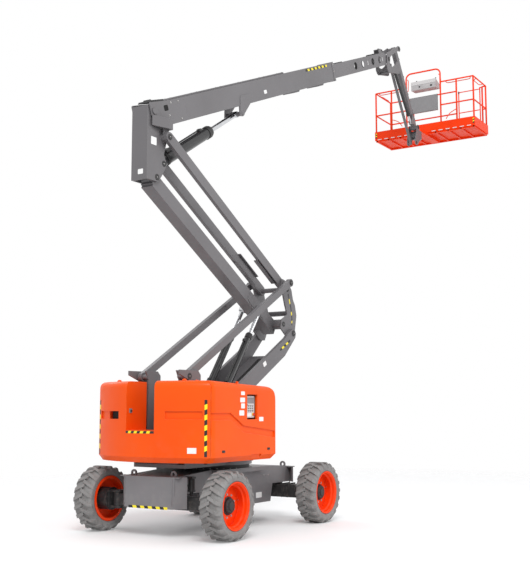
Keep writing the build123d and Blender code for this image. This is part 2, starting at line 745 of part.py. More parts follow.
# ---------------------------------------------------------------- cylinders
def cylinder_pair(base, top, sizes):
    """A barrel and a rod between two pins, both in the frame of the base pin."""
    barrel_radius, rod_radius, base_eye, top_eye, eye_width, closed, shortest, pin = sizes
    length = distance(base, top)
    rod_start = base_eye + 40 + length - shortest
    barrel = fuse(round_y(0, 0, -eye_width / 2, eye_width / 2, base_eye),
                  round_x(base_eye * 0.7, closed, 0, 0, barrel_radius))
    barrel = barrel - round_y(0, 0, -eye_width, eye_width, pin + pin_gap)
    barrel = barrel - round_x(base_eye + 25, closed + 5, 0, 0, rod_radius + pin_gap)
    rod = fuse(round_y(length, 0, -eye_width / 2, eye_width / 2, top_eye),
               round_x(rod_start, length - top_eye * 0.6, 0, 0, rod_radius))
    return barrel, rod


riser_stroke_angle = heading(riser_base, riser_top)
# barrel and rod radii, eye radii, eye width, barrel length, shortest pin distance, pin radius
riser_sizes = (riser_barrel_radius, riser_rod_radius, 56.0, 52.0, 84.0, 1150.0, 1214.0, 34.0)


def riser_cylinders():
    barrel, rod = cylinder_pair(riser_base, riser_top, riser_sizes)
    frame = arm_frame(riser_base, riser_stroke_angle)
    barrels = Compound([frame * Pos(0, y, 0) * barrel for y in (-riser_cylinder_y, riser_cylinder_y)])
    rods = Compound([frame * Pos(0, y, 0) * rod for y in (-riser_cylinder_y, riser_cylinder_y)])
    return barrels, rods


NODES["lower_arm"] = lower_arm()
NODES["lower_links"] = lower_links()
NODES["knee"] = knee()
NODES["upper_arm"] = upper_arm()
NODES["upper_links"] = upper_links()
NODES["top_knuckle"] = top_knuckle()
NODES["riser_barrels"], NODES["riser_rods"] = riser_cylinders()


# ================================================================ main boom
def box_tube(x0, x1, half_width, z0, z1, wall):
    outer = block(x0, x1, -half_width, half_width, z0, z1)
    return outer - block(x0 - 1, x1 + 1, -half_width + wall, half_width - wall, z0 + wall, z1 - wall)


boom_z0 = outer_rise - outer_height / 2
boom_z1 = outer_rise + outer_height / 2
fly_z0 = outer_rise - fly_height / 2
fly_z1 = outer_rise + fly_height / 2
outer_x0 = 330.0
outer_x1 = outer_length


def main_boom():
    half = outer_width / 2
    tube = box_tube(outer_x0, outer_x1, half, boom_z0, boom_z1, outer_wall)
    back = block(outer_x0 - 10, outer_x0 + 2, -half, half, boom_z0, boom_z1)
    cheek = [(-75, -60), (60, -80), (outer_x0 + 30, boom_z0), (outer_x0 + 420, boom_z0),
             (outer_x0 + 420, boom_z1), (outer_x0 + 20, boom_z1), (-60, 130)]
    cheeks = both_sides(plate(cheek, half, half + 16, radius=22))
    eye_x, eye_z = lift_eye
    # lift lugs: doublers on the boom's sides that reach down past the rod's eye
    tilt = tan(radians(boom_angle))
    lug_top = boom_z0 + lift_lug_height
    lug_foot = eye_z - 38
    lug = [(eye_x - 90, lug_foot + 12), (eye_x - 90 + (lug_top - lug_foot) * tilt, lug_top),
           (eye_x + 330, lug_top), (eye_x + 290, boom_z0), (eye_x - 12, lug_foot - 8)]
    lugs = both_sides(plate(lug, half, half + lift_lug_thickness))
    lugs += both_sides(plate([(eye_x - 85, lug_foot + 12), (eye_x - 40, boom_z0 + 2), (eye_x + 285, boom_z0 + 2),
                              (eye_x - 12, lug_foot - 5)], half - 14, half + 1))
    # pin stubs in the lugs: the rod's eye hangs free between them
    bosses = both_sides(round_y(eye_x, eye_z, lift_eye_width / 2 + pin_gap, half + 18, 36))
    # slot in the boom's underside, so that the rod's eye clears it at both ends of the lift
    slot_y = lift_eye_width / 2 + side_gap
    slot = block(eye_x - 380, eye_x + 105, -slot_y, slot_y, boom_z0 - 5, boom_z0 + outer_wall + 5)
    collar = fuse(block(outer_x1 - 60, outer_x1, -half - 8, half + 8, boom_z0 - 8, boom_z1 + 8)
                  - block(outer_x1 - 70, outer_x1 + 10, -half + outer_wall, half - outer_wall,
                          boom_z0 + outer_wall, boom_z1 - outer_wall))
    boom = fuse(tube - slot, back, cheeks, lugs, bosses, collar)
    boom = bored(boom, 0, 0, boom_pin_radius + pin_gap)
    return arm_frame(boom_pivot, boom_angle) * boom


def fly_boom():
    half = fly_width / 2
    start = outer_x1 - fly_overlap
    end = fly_reach - fly_nose
    tube = box_tube(start, end, half, fly_z0, fly_z1, fly_wall)
    # wear pads between the two boom sections
    gap_y = outer_width / 2 - outer_wall - half
    gap_z = (outer_height - fly_height) / 2 - outer_wall
    pads = []
    for sign in (-1, 1):
        pads.append(block(start, start + 160, min(sign * half, sign * (half + gap_y - seat_gap)),
                          max(sign * half, sign * (half + gap_y - seat_gap)), fly_z0 + 40, fly_z1 - 40))
    pads.append(block(start, start + 160, -70, 70, fly_z0 - gap_z + seat_gap, fly_z0))
    pads.append(block(start, start + 160, -70, 70, fly_z1, fly_z1 + gap_z - seat_gap))
    holes = []
    for x in (end - 1500, end - 1150, end - 650, end - 300):
        holes.append(round_y(x, outer_rise, -half - 5, half + 5, 72))
    z = outer_rise - fly_tip_drop
    nose = [(end - 60, fly_z0), (fly_reach - 50, z - 58), (fly_reach + 50, z - 50),
            (fly_reach + 58, z + 30), (fly_reach + 20, z + 62), (end - 60, fly_z1)]
    cheeks = both_sides(plate(nose, half - fly_nose_plate, half, radius=14))
    fly = fuse(tube, pads, cheeks)
    for hole in holes:
        fly = fly - hole
    fly = bored(fly, fly_reach, z, tip_pin_radius + pin_gap)
    return arm_frame(boom_pivot, boom_angle) * fly


lift_angle = heading(lift_base, lift_top)
lift_sizes = (lift_barrel_radius, lift_rod_radius, 80.0, 50.0, lift_eye_width, 1480.0, 2010.0, 40.0)


def lift_cylinder():
    barrel, rod = cylinder_pair(lift_base, lift_top, lift_sizes)
    frame = arm_frame(lift_base, lift_angle)
    return frame * barrel, frame * rod


NODES["main_boom"] = main_boom()
NODES["fly_boom"] = fly_boom()
NODES["lift_barrel"], NODES["lift_rod"] = lift_cylinder()


# ================================================================ jib
tip_outer = tip_inner + fork_plate
fork_outer = fork_inner + fork_plate
jib_half = jib_arm_half_width


def tip_bracket():
    tx, tz = tip_pin
    jx, jz = jib_pin
    kx, kz = link_pin
    cx, cz = jib_base
    column = [(tx - 85, tz - 225), (tx - 85, tz + 100), (tx - 30, tz + 150), (tx + 57, tz + 187),
              (jx - 156, jz - 22), (jx - 50, jz + 48), (jx + 30, jz + 52), (jx + 64, jz + 10),
              (jx + 40, jz - 50), (jx - 60, jz - 66), (tx + 150, tz + 130), (tx + 70, tz + 60),
              (tx + 55, tz - 60), (tx + 70, tz - 130), (tx + 200, tz - 110), (kx - 50, kz - 12),
              (kx - 38, kz + 38), (kx + 36, kz + 42), (cx + 46, cz + 30), (cx + 48, cz - 20),
              (cx, cz - 52), (tx + 200, tz - 250), (tx + 30, tz - 298), (tx - 20, tz - 285)]
    parts = both_sides(plate(column, tip_inner, tip_outer, radius=10))
    parts += both_sides(round_y(tx, tz, tip_outer - 5, fly_width / 2 - fly_nose_plate - 4, tip_pin_radius))
    parts.append(round_y(jx, jz, -tip_outer + 5, tip_outer - 5, jib_pin_radius))
    # cross tubes tie the plates where neither the fly section nor the jib arm comes
    parts.append(round_y(tx + 120, tz - 235, -tip_outer + 5, tip_outer - 5, 32))
    # the link's pin stands on the far plate, the cylinder's on the near plate
    parts.append(round_y(kx, kz, jib_link_y - jib_link_width / 2 - 4, tip_outer - 5, jib_link_pin))
    parts.append(round_y(cx, cz, -tip_outer + 5, jib_cylinder_y + jib_eye_width / 2 + 4, jib_cylinder_pin))
    parts.append(round_y(kx, kz, jib_link_y + jib_link_width / 2 + 6, tip_outer - 5, 38))
    parts.append(round_y(cx, cz, -tip_outer + 5, jib_cylinder_y - jib_barrel_radius - 6, 38))
    return fuse(parts)


def jib_arm():
    low = -jib_arm_drop
    top = low + jib_arm_height
    end = jib_length
    beam = plate([(-30, low + 30), (60, low), (end - 60, low), (end + 30, low + 30),
                  (end + 30, top - 30), (end - 60, top), (60, top), (-30, top - 30)], -jib_half, jib_half)
    ends = [round_y(x, 0, -jib_half, jib_half, 56) for x in (0, end)]
    collars = both_sides(round_y(0, 0, jib_half - 5, tip_inner - 4, 45))
    collars += both_sides(round_y(end, 0, jib_half - 5, fork_inner - 4, 45))
    # lugs of the cylinder's eye, on the arm's near side
    eye_x, eye_z = jib_eye
    lug = [(eye_x - 130, low + 4), (eye_x - 34, eye_z - 30), (eye_x + 34, eye_z - 30), (eye_x + 75, low + 4)]
    inner = jib_cylinder_y + jib_eye_width / 2 + 2
    outer = jib_cylinder_y - jib_eye_width / 2 - 2
    lugs = [plate(lug, inner, inner + 12), plate(lug, outer - 12, outer)]
    tie = block(eye_x - 150, eye_x + 70, outer - 12, -jib_half + 5, low, low + 30)
    arm = fuse(beam, ends, collars, lugs, tie)
    arm = bored(arm, 0, 0, jib_pin_radius + pin_gap)
    arm = bored(arm, jib_length, 0, jib_pin_radius + pin_gap)
    return arm_frame(jib_pin, jib_angle) * arm


def jib_link():
    y0 = jib_link_y - jib_link_width / 2
    bar = link(jib_length, jib_link_height, y0, y0 + jib_link_width, 36, jib_link_pin + pin_gap)
    return arm_frame(link_pin, jib_angle) * bar


jib_cylinder_angle = heading(jib_base, jib_top)
jib_sizes = (jib_barrel_radius, jib_rod_radius, 42.0, 36.0, jib_eye_width, 1040.0, 1140.0, jib_cylinder_pin)


def jib_cylinder():
    barrel, rod = cylinder_pair(jib_base, jib_top, jib_sizes)
    frame = arm_frame(jib_base, jib_cylinder_angle) * Pos(0, jib_cylinder_y, 0)
    return frame * barrel, frame * rod


rotator_x = jib_end[0] + rotator_ahead


def platform_mount():
    """The upright fork at the jib's foot, with the rotator housing in front of it."""
    jx, jz = jib_end
    lx, lz = link_end
    outline = [
        (lx - 42, lz - 44), (lx + 60, lz - 48), (rotator_x - 40, rotator_foot + 10),
        (rotator_x, rotator_foot + 10), (rotator_x, rotator_top - 10), (jx + 75, rotator_top - 10),
        (jx + 60, jz + 30), (jx + 20, jz + 60), (jx - 40, jz + 50), (jx - 64, jz - 20), (lx - 42, lz + 60),
    ]
    parts = both_sides(plate(outline, fork_inner, fork_outer, radius=14))
    parts.append(block(jx + 75, rotator_x, -fork_outer + 3, fork_outer - 3, rotator_top - 140, rotator_top - 10))
    parts.append(round_y(jx, jz, -fork_outer + 4, fork_outer - 4, jib_pin_radius))
    parts.append(round_y(lx, lz, jib_link_y - jib_link_width / 2 - 4, fork_outer - 4, jib_link_pin))
    parts.append(round_z(rotator_x, 0, rotator_foot, rotator_top, rotator_radius))
    return fuse(parts)


NODES["tip_bracket"] = tip_bracket()
NODES["jib_arm"] = jib_arm()
NODES["jib_link"] = jib_link()
NODES["jib_barrel"], NODES["jib_rod"] = jib_cylinder()
NODES["platform_mount"] = platform_mount()


# ================================================================ platform
px0 = platform_back
px1 = platform_back + platform_depth
py = platform_length / 2
floor_top = platform_floor_z + floor_thickness
rail_z = floor_top + rail_height
mid_z = floor_top + mid_rail_height
gate_y0 = -py + 140.0
gate_y1 = gate_y0 + gate_width
gate_top = rail_z - 20.0


def platform_floor():
    deck = block(px0, px1, -py, py, platform_floor_z, floor_top)
    toe = []
    t = toe_board_thickness
    z1 = floor_top + toe_board_height
    toe.append(block(px0, px0 + t, -py, py, floor_top - 5, z1))
    toe.append(block(px1 - t, px1, -py, gate_y0, floor_top - 5, z1))
    toe.append(block(px1 - t, px1, gate_y1, py, floor_top - 5, z1))
    toe.append(block(px0, px1, -py, -py + t, floor_top - 5, z1))
    toe.append(block(px0, px1, py - t, py, floor_top - 5, z1))
    # beams under the deck that carry the turntable of the platform
    foot = rotator_top + seat_gap
    beam = fuse(block(rotator_x, px1 - 120, -90, 90, foot, platform_floor_z + 2),
                round_z(rotator_x, 0, foot, platform_floor_z + 2, rotator_radius))
    return fuse(deck, toe, beam)


def platform_rails():
    r = rail_radius
    inset = post_radius + toe_board_thickness + seat_gap
    x0, x1 = px0 + inset, px1 - inset
    y = py - inset
    z0 = floor_top
    parts = []
    # corner and middle posts: x, y
    posts = [(x0, -y), (x0, y), (x1, -y), (x1, y), (x0, -y / 2 - 200), (x0, y / 2 + 200),
             (x1, gate_y0 - 30), (x1, gate_y1 + 30), (x1, y / 2)]
    for qx, qy in posts:
        parts.append(round_z(qx, qy, z0, rail_z, post_radius))
    for z in (mid_z, rail_z):
        parts.append(round_y(x0, z, -y, y, r))
        parts.append(round_x(x0, x1, -y, z, r))
        parts.append(round_x(x0, x1, y, z, r))
        parts.append(round_y(x1, z, -y, gate_y0 - 30, r))
        parts.append(round_y(x1, z, gate_y1 + 30, y, r))
    # arch over the controls
    top = floor_top + arch_height
    arch = tube_run([(x0, -arch_half_width, z0), (x0, -arch_half_width, top),
                     (x0, arch_half_width, top), (x0, arch_half_width, z0)], r + 2, 120)
    parts.append(arch)
    # hinge brackets of the gate, under and over its hinge tube
    hinge_y = gate_y0 + gate_clear + gate_radius
    for z in (floor_top + gate_rise - 16 - seat_gap, gate_top + seat_gap):
        parts.append(block(x1 - 11, x1 + 11, gate_y0 - 35, hinge_y + 11, z, z + 16))
    return fuse(parts)


def platform_console():
    x0 = px0 + toe_board_thickness + post_radius + rail_radius + 2 * seat_gap
    z = rail_z - 90
    box = plate([(x0, z), (x0 + 250, z + 20), (x0 + 250, z + 120), (x0, z + 200)], -300, 300)
    return box


def gate():
    r = gate_radius
    x = px1 - post_radius - toe_board_thickness - seat_gap
    y0, y1 = gate_y0 + gate_clear, gate_y1 - gate_clear
    parts = []
    for y in (y0 + r, y1 - r):
        parts.append(round_z(x, y, floor_top + gate_rise, gate_top, r))
    for z in (floor_top + gate_rise + 25, mid_z, gate_top - 25):
        parts.append(round_y(x, z, y0 + r, y1 - r, r - 2))
    return fuse(parts)


NODES["platform_floor"] = platform_floor()
NODES["platform_rails"] = platform_rails()
NODES["platform_console"] = platform_console()
NODES["gate"] = gate()


# ================================================================ export
def overall():
    boxes = [shape.bounding_box() for shape in NODES.values()]
    low = [min(tuple(box.min)[i] for box in boxes) for i in range(3)]
    high = [max(tuple(box.max)[i] for box in boxes) for i in range(3)]
    return low, high


low, high = overall()
origin_x = (low[0] + high[0]) / 2
origin_y = (low[1] + high[1]) / 2
os.makedirs("parts", exist_ok=True)
for name, shape in NODES.items():
    export_step(Pos(-origin_x, -origin_y, 0) * shape, os.path.join("parts", name + ".step"))
print("size", [round(high[i] - low[i], 1) for i in range(3)], "origin shift", round(origin_x, 2), round(origin_y, 2))
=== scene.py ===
import json
import math

import bmesh
import bpy
from mathutils import Matrix, Vector

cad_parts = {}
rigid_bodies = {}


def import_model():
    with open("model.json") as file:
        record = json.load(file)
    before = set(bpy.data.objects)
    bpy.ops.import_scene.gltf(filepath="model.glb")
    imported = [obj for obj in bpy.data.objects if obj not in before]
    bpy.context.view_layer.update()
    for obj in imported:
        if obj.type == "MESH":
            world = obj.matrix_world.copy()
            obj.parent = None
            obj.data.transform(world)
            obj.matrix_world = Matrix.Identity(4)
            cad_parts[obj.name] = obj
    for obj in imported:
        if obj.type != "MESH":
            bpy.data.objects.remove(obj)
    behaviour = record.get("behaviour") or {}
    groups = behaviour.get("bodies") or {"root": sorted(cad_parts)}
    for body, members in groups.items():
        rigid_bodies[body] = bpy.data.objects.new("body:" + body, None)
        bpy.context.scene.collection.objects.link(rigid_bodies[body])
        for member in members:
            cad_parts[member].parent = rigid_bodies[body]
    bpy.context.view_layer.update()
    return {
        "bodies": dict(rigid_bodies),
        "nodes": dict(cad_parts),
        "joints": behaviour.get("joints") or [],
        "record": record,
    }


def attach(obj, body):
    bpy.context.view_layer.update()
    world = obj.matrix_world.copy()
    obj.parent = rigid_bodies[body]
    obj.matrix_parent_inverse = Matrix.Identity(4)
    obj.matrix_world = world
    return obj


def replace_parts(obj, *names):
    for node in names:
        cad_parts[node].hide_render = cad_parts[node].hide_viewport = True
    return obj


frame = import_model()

print("boom lift: frame loaded,", len(frame["nodes"]), "nodes")


# ---- shader graph helpers ----

class Wire:
    # a socket that takes part in sums: each sum adds its Math node
    def __init__(self, finish, socket):
        self.finish = finish
        self.socket = socket

    def calc(self, operation, *terms, clamp=False):
        node = self.finish.add("ShaderNodeMath", dict(operation=operation, use_clamp=clamp),
                               {i: term for i, term in enumerate(terms)})
        return Wire(self.finish, node.outputs[0])

    def __add__(self, other): return self.calc("ADD", self, other)
    def __rsub__(self, other): return self.calc("SUBTRACT", other, self)
    def __mul__(self, other): return self.calc("MULTIPLY", self, other)
    def __pow__(self, other): return self.calc("POWER", self, other)

    def clamped(self): return self.calc("ADD", self, 0.0, clamp=True)


class Finish:
    # the node tree of a material, or of the world
    def __init__(self, owner, output="ShaderNodeOutputMaterial"):
        self.owner = owner
        owner.use_nodes = True
        self.tree = owner.node_tree
        self.tree.nodes.clear()
        self.output = self.tree.nodes.new(output)

    def feed(self, socket, value):
        if isinstance(value, Wire):
            self.tree.links.new(value.socket, socket)
        elif isinstance(value, bpy.types.NodeSocket):
            self.tree.links.new(value, socket)
        else:
            socket.default_value = value

    def add(self, kind, settings=None, values=None):
        node = self.tree.nodes.new(kind)
        for key, setting in (settings or {}).items():
            setattr(node, key, setting)
        for key, value in (values or {}).items():
            self.feed(node.inputs[key], value)
        return node

    def wire(self, kind, settings=None, values=None, output=0):
        return Wire(self, self.add(kind, settings, values).outputs[output])

    def place(self):
        return self.wire("ShaderNodeTexCoord", output="Object")

    def axes(self):
        split = self.add("ShaderNodeSeparateXYZ", None, {0: self.place()})
        return [Wire(self, split.outputs[i]) for i in range(3)]

    def noise(self, scale, detail=3.0, roughness=0.5):
        return self.wire("ShaderNodeTexNoise", None, {"Vector": self.place(), "Scale": scale, "Detail": detail,
                                                      "Roughness": roughness}, "Fac")

    def spread(self, wire, low, high, outLow=0.0, outHigh=1.0):
        return self.wire("ShaderNodeMapRange", dict(clamp=True),
                         {0: wire, 1: low, 2: high, 3: outLow, 4: outHigh})

    def blend(self, amount, first, second):
        node = self.add("ShaderNodeMix", dict(data_type="RGBA"), {0: amount})
        for index, colour in ((6, first), (7, second)):
            self.feed(node.inputs[index], (*colour, 1) if isinstance(colour, tuple) else colour)
        return Wire(self, node.outputs[2])

    # rounded edges, and how far the rounding turned the surface
    def softEdge(self, radius):
        soft = self.wire("ShaderNodeBevel", dict(samples=4), {"Radius": radius})
        flat = self.wire("ShaderNodeNewGeometry", output="Normal")
        turn = self.wire("ShaderNodeVectorMath", dict(operation="DOT_PRODUCT"), {0: soft, 1: flat}, "Value")
        return soft, self.spread(1 - turn, 0.02, 0.25)

    def bump(self, height, distance, strength=0.5, normal=None):
        values = {"Strength": strength, "Distance": distance, "Height": height}
        if normal is not None:
            values["Normal"] = normal
        return self.wire("ShaderNodeBump", None, values)

    def surface(self, constants, **linked):
        shader = self.add("ShaderNodeBsdfPrincipled", None, constants)
        for name, wire in linked.items():
            socket = {"colour": "Base Color", "roughness": "Roughness", "metallic": "Metallic",
                      "coat": "Coat Weight", "normal": "Normal", "alpha": "Alpha"}[name]
            self.feed(shader.inputs[socket], wire)
        self.feed(self.output.inputs[0], shader.outputs[0])
        return self.owner


finishes = {}


def newFinish(name):
    return Finish(bpy.data.materials.new(name))


def enamel(name, look):
    f = newFinish(name)
    soft, edge = f.softEdge(look["edge"])
    drift = f.noise(look["driftScale"], 2.0)
    grime = f.noise(look["grimeScale"], 6.0, 0.62)
    z = f.axes()[2]
    colour = f.blend(f.spread(drift, 0.35, 0.65), look["colour"], look["shade"])
    dusty = f.spread(grime, 0.48, 0.75) * f.spread(z, look["dustTop"], 0.2, 0.0, look["dust"])
    colour = f.blend(dusty.clamped(), colour, (0.42, 0.38, 0.33))
    colour = f.blend((edge * look["wear"] * f.spread(grime, 0.35, 0.6)).clamped(), colour, look["bare"])
    peel = f.noise(look["peelScale"], 2.0)
    normal = f.bump(peel, look["peelDepth"], 0.35, soft)
    roughness = f.spread(grime, 0.3, 0.75, look["roughness"] - 0.05, look["roughness"] + 0.10)
    return f.surface({"Specular IOR Level": look["gloss"], "Coat Roughness": 0.18, "Coat Weight": look["coat"]},
                     colour=colour, roughness=roughness, normal=normal)


baseLook = dict(edge=0.004, driftScale=2.0, grimeScale=12.0, peelScale=260.0, peelDepth=0.0006, roughness=0.38,
                gloss=0.38, coat=0.03, wear=0.4, dust=0.0, dustTop=1.0)
enamelLooks = {
    "cowl_orange": dict(colour=(0.92, 0.098, 0.003), shade=(0.86, 0.084, 0.003), bare=(0.95, 0.30, 0.12),
                        edge=0.010, driftScale=1.1, grimeScale=7.0, peelScale=240.0, gloss=0.16, coat=0.04,
                        wear=0.5, dust=0.10, dustTop=1.6),
    "basket_orange": dict(colour=(0.92, 0.048, 0.002), shade=(0.84, 0.040, 0.002), bare=(0.92, 0.22, 0.08),
                          driftScale=1.7, grimeScale=9.0, peelScale=300.0, peelDepth=0.0005, roughness=0.40,
                          gloss=0.16),
    "rim_orange": dict(colour=(0.94, 0.056, 0.002), shade=(0.86, 0.046, 0.002), bare=(0.90, 0.25, 0.10),
                       driftScale=3.0, grimeScale=14.0, peelScale=300.0, peelDepth=0.0005, gloss=0.16, dust=0.08),
    "arm_grey": dict(colour=(0.150, 0.143, 0.149), shade=(0.130, 0.124, 0.129), bare=(0.30, 0.29, 0.30),
                     edge=0.006, driftScale=0.8, grimeScale=6.0, roughness=0.42, coat=0.10, wear=0.6, dust=0.05,
                     dustTop=2.0),
    "chassis_grey": dict(colour=(0.185, 0.178, 0.185), shade=(0.160, 0.154, 0.160), bare=(0.27, 0.26, 0.27),
                         edge=0.006, driftScale=1.3, grimeScale=8.0, roughness=0.45, coat=0.08, wear=0.6,
                         dust=0.18, dustTop=1.1),
    "axle_black": dict(colour=(0.022, 0.021, 0.022), shade=(0.030, 0.029, 0.030), bare=(0.11, 0.10, 0.10),
                       edge=0.005, driftScale=2.5, grimeScale=16.0, peelScale=160.0, peelDepth=0.0015,
                       roughness=0.55, coat=0.0, wear=0.5, dust=0.22),
    "cylinder_black": dict(colour=(0.014, 0.014, 0.015), shade=(0.020, 0.020, 0.021), bare=(0.09, 0.09, 0.09),
                           peelDepth=0.0004, roughness=0.28, coat=0.35),
}
for finishName, look in enamelLooks.items():
    finishes[finishName] = enamel(finishName, {**baseLook, **look})


def chromeFinish():
    f = newFinish("rod_chrome")
    film = f.noise(22.0, 5.0, 0.6)
    rings = f.noise(420.0, 1.0)
    colour = f.blend(f.spread(film, 0.4, 0.7), (0.72, 0.73, 0.75), (0.58, 0.59, 0.61))
    return f.surface({"Metallic": 1.0}, colour=colour, roughness=f.spread(film, 0.35, 0.75, 0.10, 0.24),
                     normal=f.bump(rings, 0.0002, 0.2))


def tyreFinish():
    f = newFinish("tyre_grey")
    soft, edge = f.softEdge(0.006)
    cloud = f.noise(5.0, 4.0)
    grain = f.noise(160.0, 5.0, 0.65)
    scuff = f.noise(34.0, 6.0, 0.7)
    colour = f.blend(f.spread(cloud, 0.35, 0.65), (0.265, 0.257, 0.252), (0.215, 0.208, 0.204))
    colour = f.blend(f.spread(scuff, 0.52, 0.70, 0.0, 0.45), colour, (0.15, 0.142, 0.133))
    colour = f.blend(edge * 0.4, colour, (0.38, 0.37, 0.36))
    return f.surface({"Specular IOR Level": 0.3}, colour=colour,
                     roughness=f.spread(scuff, 0.3, 0.7, 0.72, 0.92), normal=f.bump(grain, 0.0015, 0.5, soft))


def consoleFinish():
    f = newFinish("console_grey")
    soft, edge = f.softEdge(0.004)
    cloud = f.noise(9.0, 3.0)
    grain = f.noise(520.0, 3.0)
    colour = f.blend(f.spread(cloud, 0.35, 0.65), (0.46, 0.44, 0.44), (0.41, 0.395, 0.395))
    colour = f.blend(edge * 0.4, colour, (0.62, 0.60, 0.60))
    return f.surface({"Specular IOR Level": 0.4}, colour=colour,
                     roughness=f.spread(cloud, 0.3, 0.7, 0.48, 0.60), normal=f.bump(grain, 0.0004, 0.4, soft))


finishes["rod_chrome"] = chromeFinish()
finishes["tyre_grey"] = tyreFinish()
finishes["console_grey"] = consoleFinish()
print("boom lift: finishes made,", len(finishes))

slotOf = {part["node"]: part["material_slot"] for part in frame["record"]["subparts"]}
for nodeName, nodeObject in frame["nodes"].items():
    for slotIndex in range(max(1, len(nodeObject.material_slots))):
        if not nodeObject.material_slots:
            nodeObject.data.materials.append(None)
        nodeObject.material_slots[slotIndex].link = "OBJECT"
        nodeObject.material_slots[slotIndex].material = finishes[slotOf[nodeName]]

# ---- shapes ----

datum = 3.65509  # slew axis to the frame's origin along X, in metres


def spot(x, y, z):  # millimetres from the slew axis on the ground
    return Vector((x / 1000 - datum, y / 1000, z / 1000))


def armFrame(x, z, turn):  # X along the arm, Z square to it, still in millimetres
    tilt = Matrix.Rotation(-math.radians(turn), 4, "Y")
    return Matrix.Translation(spot(x, 0, z)) @ tilt @ Matrix.Scale(0.001, 4)


sides = (("right", -1), ("left", 1))


# from the inner to the outer face on one side, lower number first
def span(sign, inner, outer):
    return sorted((sign * inner, sign * outer))


# even places on a circle
def circle(count, radius, start=0.0):
    turns = [math.tau * (i + start) / count for i in range(count)]
    return [(radius * math.cos(turn), radius * math.sin(turn)) for turn in turns]


def place(name, mesh):
    piece = bpy.data.objects.new(name, mesh)
    bpy.context.collection.objects.link(piece)
    return piece


frames = {
    "machine": armFrame(0, 0, 0),
    "lowerArm": armFrame(-1018.0, 1330.0, 29.7),
    "lowerLinks": armFrame(-1212.0, 2135.0, 29.7),
    "upperArm": armFrame(1537.9, 3048.5, 150.0),
    "upperLinks": armFrame(1664.9, 3628.5, 150.0),
    "riserCylinder": armFrame(20.6, 1910.9, 53.5),
    "boom": armFrame(-1700.8, 5752.0, 23.1),
    "liftCylinder": armFrame(-1435.8, 5072.0, 32.38),
    "jib": armFrame(6650.7, 9380.1, -55.0),
    "jibCylinder": armFrame(6620.7, 8863.1, -48.78),
}


def cutCorners(x0, x1, z0, z1, c):
    return [(x0 + c, z0), (x1 - c, z0), (x1, z0 + c), (x1, z1 - c),
            (x1 - c, z1), (x0 + c, z1), (x0, z1 - c), (x0, z0 + c)]


# the part's own slot that each of the small finishes counts as
usualSlot = dict(castBlack="axle_black", rubberBlack="axle_black", paintedHoleShade="axle_black", boltSteel="rod_chrome",
                 labelWhite="console_grey", boxLight="console_grey", panelGrey="console_grey")


